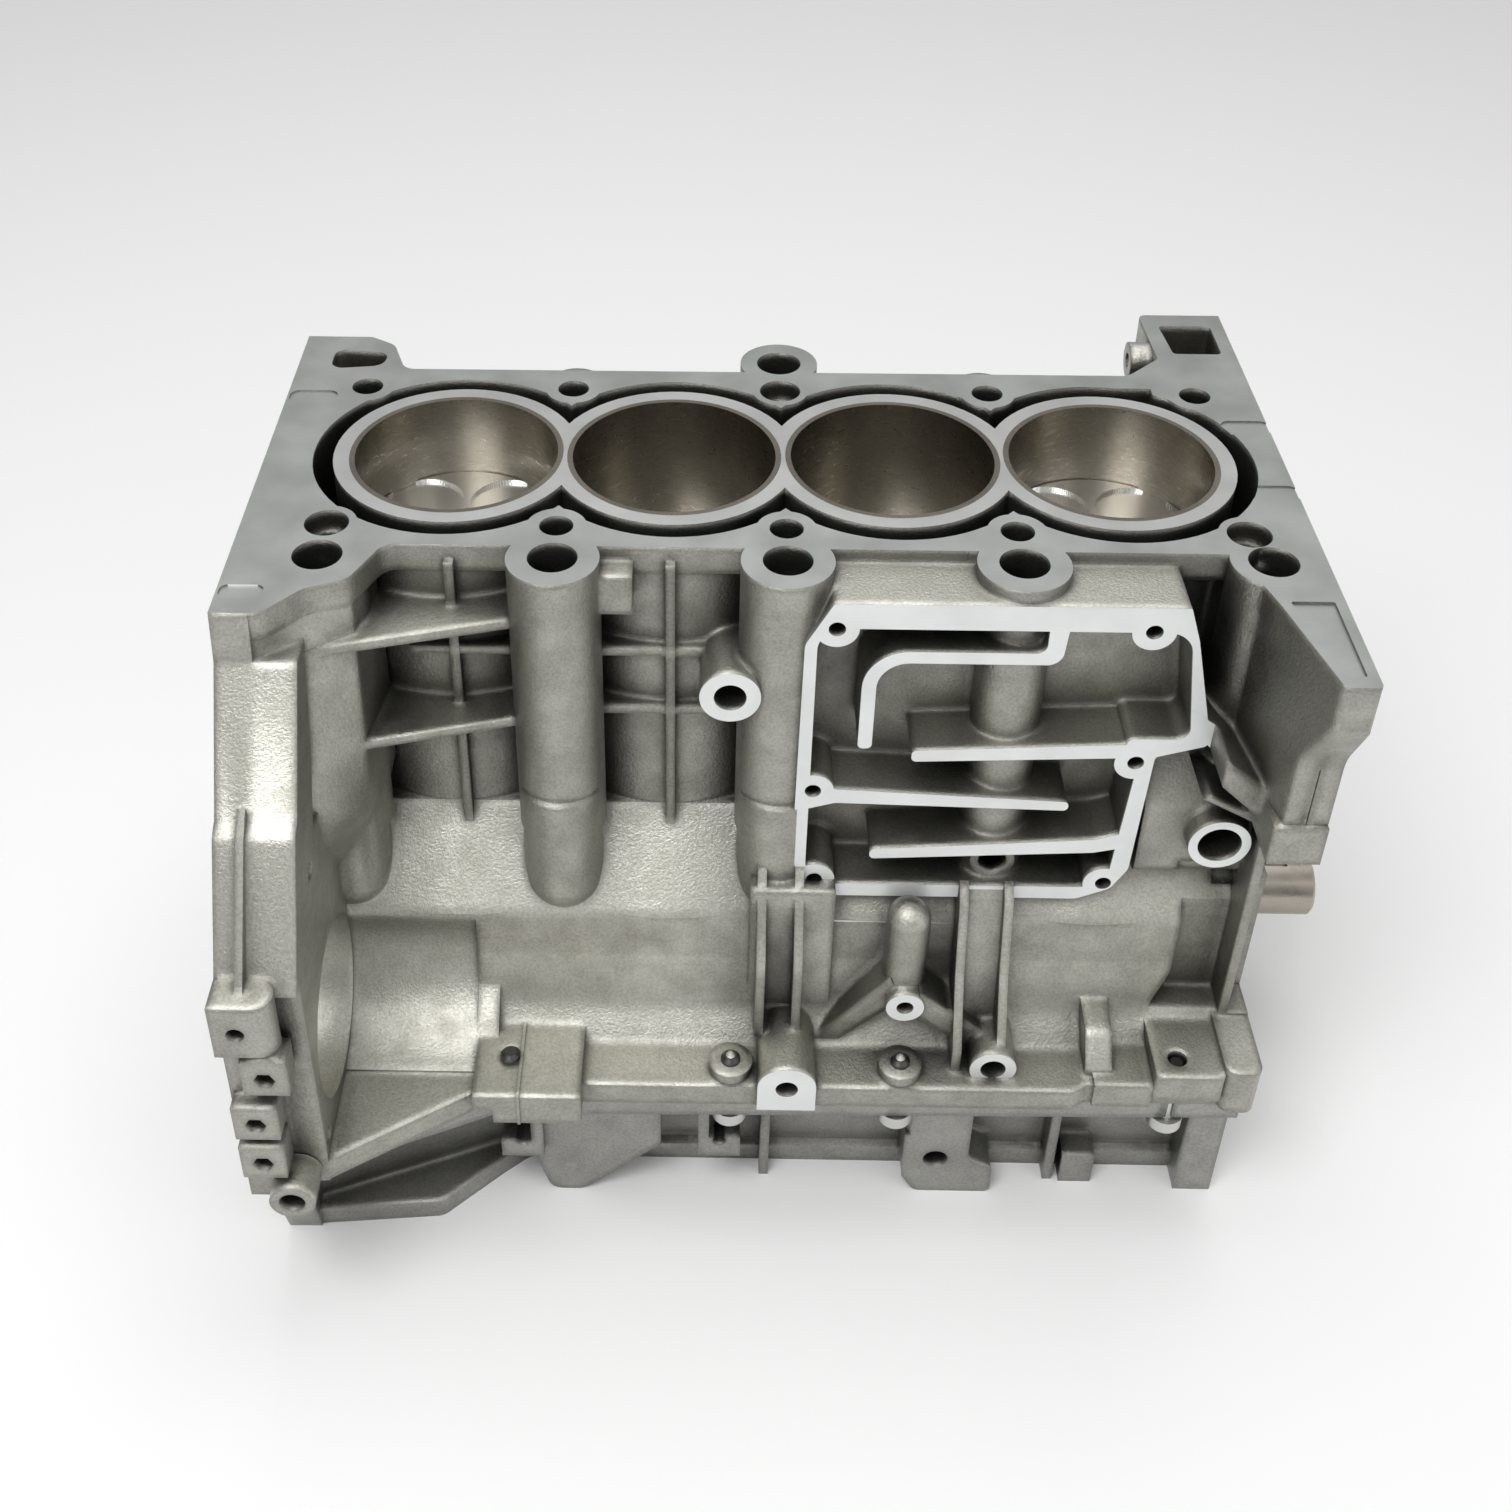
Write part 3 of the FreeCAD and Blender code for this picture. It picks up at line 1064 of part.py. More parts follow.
def piston(index):
    """Cast piston: crown with valve reliefs, three ring grooves, pin bosses and skirt."""
    part = body("piston_%d" % (index + 1))
    outside = "bore / 2 - skirt_gap"
    groove = "bore / 2 - ring_gap - ring_depth - 0.2"
    crown = crown_text()
    profile = [("0", "-piston_skirt"), (outside, "-piston_skirt")]
    heights = ["oil_ring_height", "ring_height", "ring_height"]
    for top, tall in zip(reversed(RING_TOPS), heights):
        upper = top.replace("crown_height", crown)
        lower = upper + " - %s - 2 * ring_side_gap" % tall
        profile += [(outside, lower), (groove, lower), (groove, upper), (outside, upper)]
    profile += [(outside, crown + " - 0.6"), (outside + " - 0.6", crown), ("0", crown)]
    turned(part, "Revolution", outline(sketch(part, "XZ_Plane"), profile))
    wall = "bore / 2 - skirt_gap - piston_wall"
    cavity = [("0", "-piston_skirt - 1"), (wall + " + 2", "-piston_skirt - 1"), (wall, "0"),
              (wall, crown + " - crown - 3"), (wall + " - 5", crown + " - crown"), ("0", crown + " - crown")]
    doc.recompute()
    turned(part, "Groove", outline(sketch(part, "XZ_Plane"), cavity))
    doc.recompute()
    boss = circle(sketch(part, "YZ_Plane"), "0", "0", "wrist_pin_radius + 5")
    feature(part, "Pad", boss, "2 * (bore / 2 - skirt_gap - 4)", both=True)
    slot = [("-wrist_pin_radius - 6", "-piston_skirt"), ("wrist_pin_radius + 6", "-piston_skirt"),
            ("wrist_pin_radius + 6", "wrist_pin_radius + 8"), ("-wrist_pin_radius - 6", "wrist_pin_radius + 8")]
    feature(part, "Pocket", outline(sketch(part, "YZ_Plane"), slot), "rod_width + 3", both=True)
    feature(part, "Pocket", circle(sketch(part, "YZ_Plane"), "0", "0", "wrist_pin_radius + pin_fit"), "bore + 2",
            both=True)
    for sign, back in (("", False), ("-", True)):
        flat = [("-bore", "-piston_skirt - 1"), ("bore", "-piston_skirt - 1"), ("bore", "12"), ("-bore", "12")]
        drawing = outline(sketch(part, "YZ_Plane", sign + "wrist_pin_length / 2 + %s3" % ("" if not sign else "-")), flat)
        feature(part, "Pocket", drawing, "bore", back=not back)
    for sign in ("", "-"):
        place = sign + "(wrist_pin_length / 2 + clip_wire * 0.75)"
        groove = circle(sketch(part, "YZ_Plane", place), "0", "0", "wrist_pin_radius + clip_wire * 0.35")
        feature(part, "Pocket", groove, "clip_wire * 1.1", both=True)
    for across, radius in (("bore * 0.22", "bore * 0.2"), ("-bore * 0.24", "bore * 0.17")):
        for side in ("", "-"):
            drawing = circle(sketch(part, "XY_Plane", crown), side + "bore * 0.215", across, radius)
            feature(part, "Pocket", drawing, "1.6")
    part.Placement = FreeCAD.Placement(piston_centre(index), FreeCAD.Rotation())
    return part


def ring_set(index):
    """The two compression rings and the oil ring, each split at its gap."""
    centre = piston_centre(index)
    crown = size.deck_height - size.stroke / 2 - size.rod_length
    outer = size.bore / 2 - size.ring_gap
    inner = outer - size.ring_depth
    made = []
    for label, offsets, tall in (("compression_rings_%d", (5.5, 10.5), size.ring_height),
                                 ("oil_ring_%d", (15.0,), size.oil_ring_height)):
        rings = []
        for turn, offset in enumerate(offsets):
            low = crown - offset - size.ring_side_gap - tall
            hoop = bar_z(0, 0, outer, low, low + tall).cut(bar_z(0, 0, inner, low - 1, low + tall + 1))
            gap = box(-0.2, 0.2, 0, size.bore, low - 1, low + tall + 1)
            gap.rotate(at(0, 0, 0), Z_AXIS, 40 + 180 * turn)
            rings.append(hoop.cut(gap))
        piece = doc.addObject("Part::Feature", label % (index + 1))
        piece.Label = label % (index + 1)
        piece.Shape = rings[0] if len(rings) == 1 else Part.makeCompound(rings)
        piece.Placement = FreeCAD.Placement(centre, FreeCAD.Rotation())
        made.append(piece)
    return made


def wrist_pin(index):
    """Hollow piston pin."""
    pin = tube_part("wrist_pin_%d" % (index + 1), "wrist_pin_radius", "wrist_pin_bore", "wrist_pin_length")
    pin.Placement = FreeCAD.Placement(piston_centre(index), FreeCAD.Rotation())
    return pin


def circlips(index):
    """Two open wire rings that keep the piston pin in its bosses."""
    place = (size.wrist_pin_length + size.clip_wire) / 2 + size.clip_wire / 4
    hoops = []
    for side in (-1, 1):
        hoop = Part.makeTorus(size.wrist_pin_radius - size.clip_wire * 0.2, size.clip_wire / 2,
                              at(side * place, 0, 0), X_AXIS)
        mouth = box(side * place - 2, side * place + 2, -4, 4, -size.wrist_pin_radius - 3, 0)
        hoops.append(hoop.cut(mouth))
    piece = doc.addObject("Part::Feature", "pin_circlips_%d" % (index + 1))
    piece.Label = piece.Name
    piece.Shape = Part.makeCompound(hoops)
    piece.Placement = FreeCAD.Placement(piston_centre(index), FreeCAD.Rotation())
    return piece


def liner(index):
    """Cast-iron liner, cast into the block."""
    part = body("cylinder_liner_%d" % (index + 1))
    ring = circle(sketch(part, "XY_Plane", "deck_height - liner_length"), "0", "0", "bore / 2 + liner_wall")
    circle(ring, "0", "0", "bore / 2")
    feature(part, "Pad", ring, "liner_length")
    part.Placement = FreeCAD.Placement(at(bore_x(index), 0, 0), FreeCAD.Rotation())
    return part


# ---------------------------------------------------------------- bearings


def shell_group(label, start):
    """Half shells of the five main bearings."""
    half = tube_part(label + "_shell", "main_journal / 2 + oil_film + main_shell", "main_journal / 2 + oil_film",
                     "shell_width", half=180.0, start=start)
    return bolt_group(label, half, [at(main_x(k), 0, 0) for k in MAINS])


def rod_shell(index, label, start):
    """Half shell of a rod bearing, lying with its rod."""
    half = tube_part(label % (index + 1), "crankpin / 2 + oil_film + rod_shell", "crankpin / 2 + oil_film",
                     "shell_width", half=180.0, start=start)
    half.Placement = rod_place(index)
    return half


def thrust_washers():
    """Two half washers that take the crankshaft's end thrust at the middle bearing."""
    half = tube_part("thrust_half", "thrust_radius", "main_journal / 2 + 1.5", "thrust_washer", half=180.0, start=0.0)
    place = size.bulkhead / 2 - size.thrust_recess + size.thrust_washer / 2
    return bolt_group("thrust_washers", half, [at(main_x(2) + side * place, 0, 0) for side in (-1, 1)])


# ---------------------------------------------------------------- assembly

pieces = [cylinder_block(), lower_block(), crankshaft()]
pieces += [shell_group("upper_main_bearings", 0.0), shell_group("lower_main_bearings", 180.0), thrust_washers()]

main_bolt = headed_bolt("main_bolt", "main_bolt_radius", "main_bolt_radius + 4", "9.5", "cap_seat + main_bolt_reach")
edge_bolt = headed_bolt("edge_bolt", "edge_bolt_radius", "edge_bolt_radius + 3.2", "7",
                        "flange_thickness + 1 + edge_bolt_tip")
rod_bolt = headed_bolt("rod_bolt", "rod_bolt_radius", "rod_bolt_radius + 2.2", "6",
                       "2 * rod_shoulder_height - 2.5")
pieces.append(bolt_group("main_bolts", main_bolt,
                         [at(main_x(k), side * size.main_bolt_offset, -size.cap_seat)
                          for k in MAINS for side in (-1, 1)]))
pieces.append(bolt_group("joint_bolts", edge_bolt,
                         [at(x, y, -size.flange_thickness - 1) for x, y in edge_bolts()]))

for number in BORES:
    pieces += [liner(number), piston(number), wrist_pin(number), circlips(number)] + ring_set(number)
    pieces += [connecting_rod(number), rod_cap(number)]
    pieces += [rod_shell(number, "rod_bearing_upper_%d", 0.0), rod_shell(number, "rod_bearing_lower_%d", 180.0)]
    seats = [at(0, side * size.rod_bolt_offset, -size.rod_shoulder_height) for side in (-1, 1)]
    pieces.append(bolt_group("rod_bolts_%d" % (number + 1), rod_bolt, seats, rod_place(number)))

doc.recompute()

# ---------------------------------------------------------------- checks and files

for entry in doc.Objects:
    if "Invalid" in entry.State or "Error" in entry.State:
        raise RuntimeError("failed object: " + entry.Label)
for piece in pieces:
    if piece.Shape.isNull() or not piece.Shape.isValid() or not piece.Shape.Solids:
        raise RuntimeError("bad shape: " + piece.Label)
for piece in pieces:
    piece.Shape.exportStep("parts/%s.step" % piece.Label)
    print("%-24s %2d solids %12.1f mm3" % (piece.Label, len(piece.Shape.Solids), piece.Shape.Volume))
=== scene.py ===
import json
import math

import bpy
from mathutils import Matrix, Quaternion, Vector


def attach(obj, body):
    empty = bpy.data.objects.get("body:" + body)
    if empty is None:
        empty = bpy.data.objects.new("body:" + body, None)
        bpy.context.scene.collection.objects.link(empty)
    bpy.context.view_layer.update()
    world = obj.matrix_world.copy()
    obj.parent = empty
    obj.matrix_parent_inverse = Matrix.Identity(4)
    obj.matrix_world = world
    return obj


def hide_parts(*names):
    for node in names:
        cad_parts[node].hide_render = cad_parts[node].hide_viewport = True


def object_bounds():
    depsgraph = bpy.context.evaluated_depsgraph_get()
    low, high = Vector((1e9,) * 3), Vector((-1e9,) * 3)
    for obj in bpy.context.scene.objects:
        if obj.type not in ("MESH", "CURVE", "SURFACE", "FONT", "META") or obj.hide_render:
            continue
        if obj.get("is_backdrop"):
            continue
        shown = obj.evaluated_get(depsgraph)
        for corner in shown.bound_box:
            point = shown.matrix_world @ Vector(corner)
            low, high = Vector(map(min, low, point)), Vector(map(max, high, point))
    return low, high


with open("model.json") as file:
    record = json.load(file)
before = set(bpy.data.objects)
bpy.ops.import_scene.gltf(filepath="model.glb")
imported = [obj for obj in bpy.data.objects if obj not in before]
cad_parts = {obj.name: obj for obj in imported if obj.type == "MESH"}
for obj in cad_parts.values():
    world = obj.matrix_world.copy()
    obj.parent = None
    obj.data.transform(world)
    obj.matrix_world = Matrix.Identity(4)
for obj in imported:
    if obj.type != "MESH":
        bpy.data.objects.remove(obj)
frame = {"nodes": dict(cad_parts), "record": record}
lo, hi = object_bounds()
mm = 0.001

# Cast skin: the fine sandy grain, soft edges and slight mottling of cast aluminium, with painted shade:
# darker in corners and recesses, and upright walls painted darker than the tops.
# One group gives it to both castings, and each casting sets its own colours.


def node(tree, kind, **settings):
    """Adds a shader node and sets its plain settings."""
    made = tree.nodes.new(kind)
    for name, value in settings.items():
        setattr(made, name, value)
    return made


def noise(tree, place, scale, detail, rough=0.5):
    """A noise of the given scale on object coordinates in metres."""
    made = node(tree, "ShaderNodeTexNoise")
    made.inputs["Scale"].default_value = scale
    made.inputs["Detail"].default_value = detail
    made.inputs["Roughness"].default_value = rough
    tree.links.new(place, made.inputs["Vector"])
    return made.outputs["Fac"]


def spread(tree, value, low, high, start=0.0, stop=1.0):
    """Maps a value from start..stop to low..high."""
    made = node(tree, "ShaderNodeMapRange")
    made.inputs["From Min"].default_value = start
    made.inputs["From Max"].default_value = stop
    made.inputs["To Min"].default_value = low
    made.inputs["To Max"].default_value = high
    tree.links.new(value, made.inputs["Value"])
    return made.outputs["Result"]


def blend(tree, fac, first, second, mode="MIX"):
    """Mixes two colours; fac, first and second are sockets or constants."""
    made = node(tree, "ShaderNodeMix", data_type="RGBA", blend_type=mode)
    for socket, value in zip((made.inputs[0], made.inputs[6], made.inputs[7]), (fac, first, second)):
        if hasattr(value, "links"):
            tree.links.new(value, socket)
        else:
            socket.default_value = value
    return made.outputs[2]


cast_skin = bpy.data.node_groups.new("cast_skin", "ShaderNodeTree")
for name, kind in (("Light", "NodeSocketColor"), ("Dark", "NodeSocketColor")):
    cast_skin.interface.new_socket(name, in_out="INPUT", socket_type=kind)
given = (("Color", "NodeSocketColor"), ("Roughness", "NodeSocketFloat"), ("Normal", "NodeSocketVector"))
for name, kind in given:
    cast_skin.interface.new_socket(name, in_out="OUTPUT", socket_type=kind)
skin_in = node(cast_skin, "NodeGroupInput")
skin_out = node(cast_skin, "NodeGroupOutput")
skin_point = node(cast_skin, "ShaderNodeTexCoord")
skin_place = skin_point.outputs["Object"]
grain = noise(cast_skin, skin_place, 850, 3, 0.7)
mottle = noise(cast_skin, skin_place, 70, 5, 0.6)
flow = noise(cast_skin, skin_place, 16, 3)
patch = blend(cast_skin, 0.4, mottle, flow)
patch_spread = spread(cast_skin, patch, 0, 1, 0.36, 0.64)
skin_color = blend(cast_skin, patch_spread, skin_in.outputs["Dark"], skin_in.outputs["Light"])
# Painted shade: an occlusion mask darkens the colour in corners and recesses, where shade falls.
shelter = node(cast_skin, "ShaderNodeAmbientOcclusion", samples=6, only_local=True)
shelter.inputs["Distance"].default_value = 30 * mm
painted_corner_shade = spread(cast_skin, shelter.outputs["AO"], 0.27, 1.0, 0.22, 0.90)
speckle = spread(cast_skin, grain, 0.84, 1.06, 0.36, 0.60)
worn = blend(cast_skin, 1.0, skin_color, speckle, "MULTIPLY")
grained_and_shaded = blend(cast_skin, 1.0, worn, painted_corner_shade, "MULTIPLY")
# Painted shade: faces turned sideways or down are painted darker than faces turned up.
level = node(cast_skin, "ShaderNodeSeparateXYZ")
cast_skin.links.new(skin_point.outputs["Normal"], level.inputs[0])
painted_side_shade = spread(cast_skin, level.outputs["Z"], 0.55, 1.0, -0.1, 0.5)
cast_skin.links.new(blend(cast_skin, 1.0, grained_and_shaded, painted_side_shade, "MULTIPLY"), skin_out.inputs["Color"])
cast_skin.links.new(spread(cast_skin, mottle, 0.50, 0.36, 0.35, 0.65), skin_out.inputs["Roughness"])
edges = node(cast_skin, "ShaderNodeBevel", samples=8)
edges.inputs["Radius"].default_value = 5.5 * mm
lumps = node(cast_skin, "ShaderNodeBump")
lumps.inputs["Strength"].default_value = 0.13
lumps.inputs["Distance"].default_value = 0.6 * mm
cast_skin.links.new(noise(cast_skin, skin_place, 210, 4, 0.55), lumps.inputs["Height"])
cast_skin.links.new(edges.outputs["Normal"], lumps.inputs["Normal"])
grains = node(cast_skin, "ShaderNodeBump")
grains.inputs["Strength"].default_value = 0.9
grains.inputs["Distance"].default_value = 0.32 * mm
cast_skin.links.new(grain, grains.inputs["Height"])
cast_skin.links.new(lumps.outputs["Normal"], grains.inputs["Normal"])
cast_skin.links.new(grains.outputs["Normal"], skin_out.inputs["Normal"])


def metal(name, metallic=1.0):
    """A new material; returns it, its tree and its Principled shader."""
    made = bpy.data.materials.new(name)
    made.use_nodes = True
    shader = made.node_tree.nodes["Principled BSDF"]
    shader.inputs["Metallic"].default_value = metallic
    return made, made.node_tree, shader


def cast(name, light, dark, metallic=0.9):
    """A casting's material from the shared skin."""
    made, tree, shader = metal(name, metallic)
    group = node(tree, "ShaderNodeGroup", node_tree=cast_skin)
    group.inputs["Light"].default_value = light
    group.inputs["Dark"].default_value = dark
    for socket, target in (("Color", "Base Color"), ("Roughness", "Roughness"), ("Normal", "Normal")):
        tree.links.new(group.outputs[socket], shader.inputs[target])
    return made


# Milled faces: deck, breather cover face, timing face, bosses and lugs of the cast aluminium.
# They are cut flat after casting. Fine cutter arcs run over them, and their edges stay crisp.


def milled(name, light, dark, rough, metallic=1.0):
    """Freshly milled aluminium with faint cutter arcs."""
    made, tree, shader = metal(name, metallic)
    place = node(tree, "ShaderNodeTexCoord").outputs["Object"]
    arcs = node(tree, "ShaderNodeTexWave", wave_type="RINGS", rings_direction="SPHERICAL")
    arcs.inputs["Scale"].default_value = 260
    arcs.inputs["Distortion"].default_value = 1.5
    arcs.inputs["Detail"].default_value = 2
    tree.links.new(place, arcs.inputs["Vector"])
    cloud = noise(tree, place, 38, 4)
    cloudy = blend(tree, spread(tree, cloud, 0, 1, 0.35, 0.65), dark, light)
    tree.links.new(cloudy, shader.inputs["Base Color"])
    tree.links.new(spread(tree, cloud, rough - 0.04, rough + 0.06), shader.inputs["Roughness"])
    marks = node(tree, "ShaderNodeBump")
    marks.inputs["Strength"].default_value = 0.12
    marks.inputs["Distance"].default_value = 0.05 * mm
    tree.links.new(arcs.outputs["Fac"], marks.inputs["Height"])
    tree.links.new(marks.outputs["Normal"], shader.inputs["Normal"])
    return made


# Cylinder block: one aluminium casting with the bank, the crankcase and the transmission flange.
# Its deck, ends, bosses and breather face are milled. A merged copy of the casting stands in for it,
# and a face is taken as milled where it lies in one of the machined planes.

deck_height = 0.235
deck_tolerance = 1.6 * mm
timing_plane = 0.4055
sleeve_reach = 50 * mm
plane_tolerance = 0.5 * mm
# The breather chamber, the sensor boss, the port boss, two bracket bosses and the foot lug.
side_planes = (-0.090, -0.088, -0.096, -0.113, -0.124, -0.1335)
side_tolerance = 0.2 * mm
starter_end = 0.09
starter_top = 0.12
starter_side = -0.11
weld_reach = 0.02 * mm
smooth_angle = math.radians(32)
pitch = 0.087
first_bore = 0.076
bore_places = [first_bore + pitch * k for k in range(4)]
block_cast = cast("block_cast", (0.70, 0.69, 0.625, 1), (0.55, 0.54, 0.48, 1), 0.97)
block_deck = milled("block_deck", (0.60, 0.62, 0.60, 1), (0.49, 0.51, 0.49, 1), 0.42)
# The side milled faces get a lighter, less metallic copy of the deck's milled aluminium: a painted
# highlight for the light they catch.
milled_face_painted_light = milled("milled_face_painted_light", (0.82, 0.84, 0.835, 1), (0.74, 0.76, 0.755, 1), 0.45, 0.35)
sleeve_top = milled("sleeve_top", (0.78, 0.79, 0.775, 1), (0.70, 0.71, 0.695, 1), 0.38)


def merged_copy(name):
    """A copy of a CAD node's mesh with its loose triangles joined."""
    source = frame["nodes"][name]
    twin = bpy.data.objects.new(name + "_skin", source.data.copy())
    bpy.context.scene.collection.objects.link(twin)
    bpy.ops.object.select_all(action="DESELECT")
    twin.select_set(True)
    bpy.context.view_layer.objects.active = twin
    bpy.ops.mesh.customdata_custom_splitnormals_clear()
    bpy.ops.object.mode_set(mode="EDIT")
    bpy.ops.mesh.select_all(action="SELECT")
    bpy.ops.mesh.remove_doubles(threshold=weld_reach)
    bpy.ops.object.mode_set(mode="OBJECT")
    bpy.ops.object.shade_smooth_by_angle(angle=smooth_angle)
    return twin


def finish_of(face):
    """0 as cast, 1 deck, 2 milled face with a painted highlight (lighter than the deck), 3 top of the
    sleeves.
    """
    x, y, z = face.center
    normal = face.normal
    if normal.z > 0.99 and z > deck_height - deck_tolerance:
        on_sleeve = min(math.hypot(x - centre, y) for centre in bore_places) < sleeve_reach
        return 3 if on_sleeve else 1
    if normal.x > 0.99 and x > timing_plane - plane_tolerance:
        return 2
    if normal.x < -0.99 and x < plane_tolerance:
        return 2
    in_starter_relief = x < starter_end and z < starter_top and y > starter_side
    if in_starter_relief or normal.y > -0.99:
        return 0
    return 2 if any(abs(y - plane) < side_tolerance for plane in side_planes) else 0


block = merged_copy("cylinder_block")

# Web beside the breather chamber: a cast wall from the chamber to the timing face.
# It stops behind the chamber's rim, so the room in front of it is cut away.

bpy.ops.object.select_all(action="DESELECT")
bpy.ops.mesh.primitive_cube_add(size=1, location=(0.359, -0.1015, 0.170))
rim_room = bpy.context.object
rim_room.scale = (0.020, 0.0229, 0.040)
bpy.ops.object.transform_apply(location=False, rotation=False, scale=True)
bpy.ops.object.select_all(action="DESELECT")
block.select_set(True)
bpy.context.view_layer.objects.active = block
bpy.ops.object.modifier_add(type="BOOLEAN")
block.modifiers[0].operation = "DIFFERENCE"
block.modifiers[0].solver = "EXACT"
block.modifiers[0].object = rim_room
bpy.ops.object.modifier_apply(modifier=block.modifiers[0].name)
bpy.data.objects.remove(rim_room)

# Nipples: small blunt cones of the same casting over the blind joint bolt holes of the flange.
# Each is a short round post drawn in at its top, and is joined into the block's copy.

nipple_radius = 5 * mm
nipple_height = 7 * mm
nipple_base = 14 * mm


def nipple(x, y):
    """A small cast cone over a blind joint bolt hole."""
    bpy.ops.object.select_all(action="DESELECT")
    bpy.ops.mesh.primitive_cylinder_add(vertices=32, radius=nipple_radius, depth=nipple_height,
                                        location=(x, y, nipple_base + nipple_height / 2))
    bpy.ops.object.mode_set(mode="EDIT")
    bpy.ops.mesh.select_all(action="DESELECT")
    bpy.ops.object.mode_set(mode="OBJECT")
    made = bpy.context.object
    for face in made.data.polygons:
        face.select = face.normal.z > 0.9
    bpy.ops.object.mode_set(mode="EDIT")
    bpy.ops.transform.resize(value=(0.15, 0.15, 1))
    bpy.ops.mesh.bevel(offset=0.6 * mm, segments=3)
    bpy.ops.object.mode_set(mode="OBJECT")
    return made


nipples = [nipple(x, -0.121) for x in (0.189, 0.259)]
nipples += [nipple(x, 0.113) for x in (0.098, 0.189, 0.259, 0.3725)]
bpy.ops.object.select_all(action="DESELECT")
for made in nipples:
    made.select_set(True)
block.select_set(True)
bpy.context.view_layer.objects.active = block
bpy.ops.object.join()
bpy.ops.object.shade_smooth_by_angle(angle=smooth_angle)
block.data.materials.clear()
for skin in (block_cast, block_deck, milled_face_painted_light, sleeve_top):
    block.data.materials.append(skin)
for face in block.data.polygons:
    face.material_index = finish_of(face)
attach(block, "block")
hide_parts("cylinder_block")

# Lower block: the ladder casting under the joint, which carries the lower halves of the main bearings.
# It is cast like the block, a little darker and greyer.

ladder = frame["nodes"]["lower_block"]
ladder.data.materials[0] = cast("ladder_cast", (0.62, 0.615, 0.575, 1), (0.50, 0.495, 0.46, 1), 0.97)

# Liners: four tubes of dark iron, cast into the sleeves and honed.
# The honing stones leave faint bands round each bore.


def step(tree, kind, first, second=None):
    """One step of arithmetic; each value is a socket or a number."""
    made = node(tree, "ShaderNodeMath", operation=kind)
    for socket, value in zip(made.inputs, (first, second)):
        if hasattr(value, "links"):
            tree.links.new(value, socket)
        elif value is not None:
            socket.default_value = value
    return made.outputs[0]


def from_bore(tree, place):
    """How far a point lies from the nearest bore's centre line along X, then its Y and Z."""
    axes = node(tree, "ShaderNodeSeparateXYZ")
    tree.links.new(place, axes.inputs[0])
    along = step(tree, "ADD", axes.outputs["X"], pitch * 1.5 - first_bore)
    across = step(tree, "SUBTRACT", step(tree, "MODULO", along, pitch), pitch / 2)
    return across, axes.outputs["Y"], axes.outputs["Z"]


honed, tree, shader = metal("honed_iron")
place = node(tree, "ShaderNodeTexCoord").outputs["Object"]
across, sideways, upwards = from_bore(tree, place)
turn = step(tree, "ARCTAN2", sideways, across)
wrap = node(tree, "ShaderNodeCombineXYZ")
tree.links.new(step(tree, "MULTIPLY", turn, 0.9), wrap.inputs[0])
tree.links.new(step(tree, "MULTIPLY", upwards, 60.0), wrap.inputs[1])
scuff = noise(tree, wrap.outputs[0], 9, 5, 0.65)
band = noise(tree, place, 30, 3)
shade = blend(tree, 0.5, scuff, band)
iron_shade = spread(tree, shade, 0, 1, 0.35, 0.65)
iron_color = blend(tree, iron_shade, (0.24, 0.215, 0.175, 1), (0.36, 0.33, 0.275, 1))
tree.links.new(iron_color, shader.inputs["Base Color"])
tree.links.new(spread(tree, scuff, 0.36, 0.24, 0.3, 0.7), shader.inputs["Roughness"])
scratch = node(tree, "ShaderNodeBump")
scratch.inputs["Strength"].default_value = 0.10
scratch.inputs["Distance"].default_value = 0.03 * mm
tree.links.new(scuff, scratch.inputs["Height"])
tree.links.new(scratch.outputs["Normal"], shader.inputs["Normal"])
for k in range(1, 5):
    frame["nodes"]["cylinder_liner_%d" % k].data.materials[0] = honed

# Pistons: four bright aluminium pistons, of which the bores show only the crowns.
# The crowns are turned, so fine tool rings run round each of them.

crown, tree, shader = metal("piston_crown")
shader.inputs["Base Color"].default_value = (0.90, 0.90, 0.89, 1)
across, sideways = from_bore(tree, node(tree, "ShaderNodeTexCoord").outputs["Object"])[:2]
squares = [step(tree, "MULTIPLY", value, value) for value in (across, sideways)]
radius = step(tree, "SQRT", step(tree, "ADD", *squares))
rings = step(tree, "SINE", step(tree, "MULTIPLY", radius, 9000.0))
tree.links.new(spread(tree, rings, 0.30, 0.20, -1, 1), shader.inputs["Roughness"])
tool = node(tree, "ShaderNodeBump")
tool.inputs["Strength"].default_value = 0.25
tool.inputs["Distance"].default_value = 0.03 * mm
tree.links.new(rings, tool.inputs["Height"])
tree.links.new(tool.outputs["Normal"], shader.inputs["Normal"])
for k in range(1, 5):
    frame["nodes"]["piston_%d" % k].data.materials[0] = crown

# Steel parts: the forged crankshaft and rods, the black bolts, the pins, rings and bearing shells.
# Each is ground, forged or blackened, with a little unevenness in colour and gloss.


def steel(name, light, dark, rough):
    """Steel with slight cloudiness in colour and gloss."""
    made, tree, shader = metal(name)
    place = node(tree, "ShaderNodeTexCoord").outputs["Object"]
    cloud = noise(tree, place, 120, 4)
    tree.links.new(blend(tree, cloud, dark, light), shader.inputs["Base Color"])
    tree.links.new(spread(tree, cloud, rough - 0.05, rough + 0.08, 0.3, 0.7), shader.inputs["Roughness"])
    fine = node(tree, "ShaderNodeBump")
    fine.inputs["Strength"].default_value = 0.2
    fine.inputs["Distance"].default_value = 0.08 * mm
    tree.links.new(noise(tree, place, 900, 3), fine.inputs["Height"])
    tree.links.new(fine.outputs["Normal"], shader.inputs["Normal"])
    return made


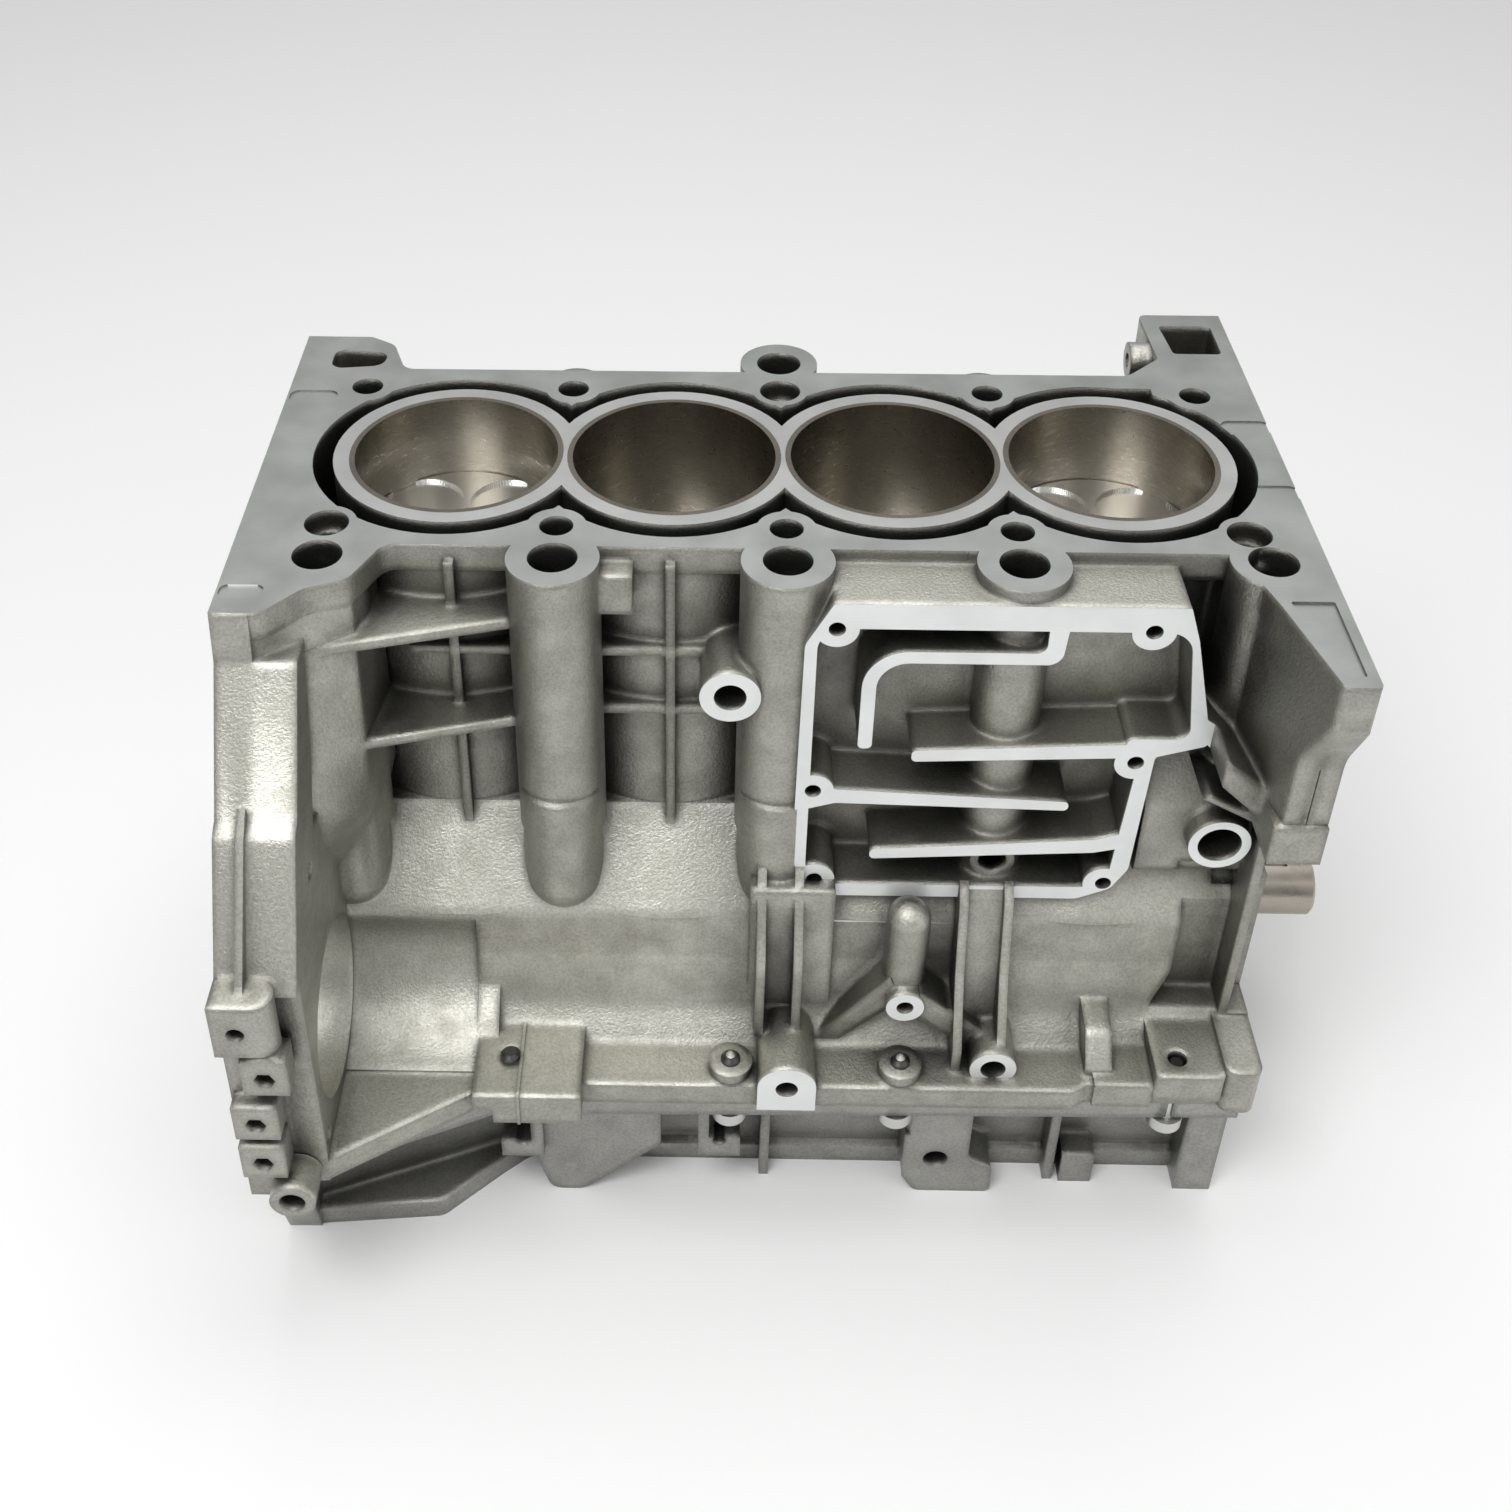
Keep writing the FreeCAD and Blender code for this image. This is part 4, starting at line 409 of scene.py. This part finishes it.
finishes = {
    "crank_steel": steel("crank_steel", (0.44, 0.40, 0.35, 1), (0.36, 0.33, 0.29, 1), 0.30),
    "rod_steel": steel("rod_steel", (0.38, 0.37, 0.36, 1), (0.30, 0.29, 0.28, 1), 0.45),
    "bolt_steel": steel("bolt_steel", (0.16, 0.16, 0.16, 1), (0.11, 0.11, 0.11, 1), 0.42),
    "pin_steel": steel("pin_steel", (0.70, 0.70, 0.69, 1), (0.62, 0.62, 0.61, 1), 0.18),
    "ring_steel": steel("ring_steel", (0.45, 0.45, 0.46, 1), (0.38, 0.38, 0.39, 1), 0.32),
    "bearing_metal": steel("bearing_metal", (0.62, 0.60, 0.54, 1), (0.54, 0.52, 0.46, 1), 0.30),
}
for part in frame["record"]["subparts"]:
    if part["material_slot"] in finishes:
        frame["nodes"][part["node"]].data.materials[0] = finishes[part["material_slot"]]

# Joint bolts: steel bolts that come up from below and hold the lower block to the flange.
# Their heads are plated, and their dark blunt tips show in the flange's pads.

tipped, tree, shader = metal("tipped_bolt")
shader.inputs["Roughness"].default_value = 0.42
place = node(tree, "ShaderNodeTexCoord").outputs["Object"]
axes = node(tree, "ShaderNodeSeparateXYZ")
tree.links.new(place, axes.inputs[0])
at_tip = step(tree, "GREATER_THAN", axes.outputs["Z"], 8 * mm)
bolt_color = blend(tree, at_tip, (0.62, 0.62, 0.60, 1), (0.10, 0.10, 0.095, 1))
tree.links.new(bolt_color, shader.inputs["Base Color"])
frame["nodes"]["joint_bolts"].data.materials[0] = tipped

# Studio: a plain pale floor, a soft sky that is brighter overhead, and three square soft lamps.
# The camera looks down on the breather side.

bpy.ops.mesh.primitive_plane_add(size=6, location=(0.2, 0, lo.z))
floor = bpy.context.object
floor.name = "floor"
pale, tree, shader = metal("floor_paper", 0.0)
shader.inputs["Base Color"].default_value = (0.97, 0.97, 0.97, 1)
shader.inputs["Roughness"].default_value = 0.9
shader.inputs["Specular IOR Level"].default_value = 0.0
floor.data.materials.append(pale)
floor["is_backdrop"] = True

world = bpy.data.worlds.new("studio")
bpy.context.scene.world = world
world.use_nodes = True
tree = world.node_tree
sky = tree.nodes["Background"]
sky.inputs["Strength"].default_value = 0.28
axes = node(tree, "ShaderNodeSeparateXYZ")
tree.links.new(node(tree, "ShaderNodeTexCoord").outputs["Generated"], axes.inputs[0])
height = spread(tree, axes.outputs["Z"], 0.0, 1.0, 0.05, 0.85)
tree.links.new(blend(tree, height, (0.9, 0.9, 0.89, 1), (2.0, 2.0, 2.0, 1)), sky.inputs["Color"])


def lamp(name, place, target, size, power):
    """A square soft lamp aimed at a point."""
    data = bpy.data.lights.new(name, "AREA")
    data.size = size
    data.energy = power
    made = bpy.data.objects.new(name, data)
    bpy.context.scene.collection.objects.link(made)
    made.location = place
    made.rotation_euler = (Vector(target) - Vector(place)).to_track_quat("-Z", "Y").to_euler()


middle = (lo + hi) / 2
lamp("key", (-0.35, -0.95, 1.65), middle, size=0.9, power=17)
lamp("fill", (1.4, -0.9, 0.9), middle, size=1.0, power=3)
lamp("top", (0.3, 0.4, 1.8), middle, size=1.2, power=8)

pitch_down = math.radians(35.14)
yaw = math.radians(-0.89)
roll = math.radians(0.22)
level_reach = math.cos(pitch_down)
forward = Vector((math.sin(yaw) * level_reach, math.cos(yaw) * level_reach, -math.sin(pitch_down)))
camera_data = bpy.data.cameras.new("camera")
camera_data.lens = 44.72
camera_data.sensor_width = 36
camera_data.shift_x = 0.0485
camera_data.shift_y = -0.147
camera = bpy.data.objects.new("camera", camera_data)
bpy.context.scene.collection.objects.link(camera)
camera.location = (0.1763, -0.6315, 0.641)
camera.rotation_mode = "QUATERNION"
camera.rotation_quaternion = forward.to_track_quat("-Z", "Y") @ Quaternion((0, 0, 1), roll)
bpy.context.scene.camera = camera
bpy.context.scene.view_settings.view_transform = "Standard"

lo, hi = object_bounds()
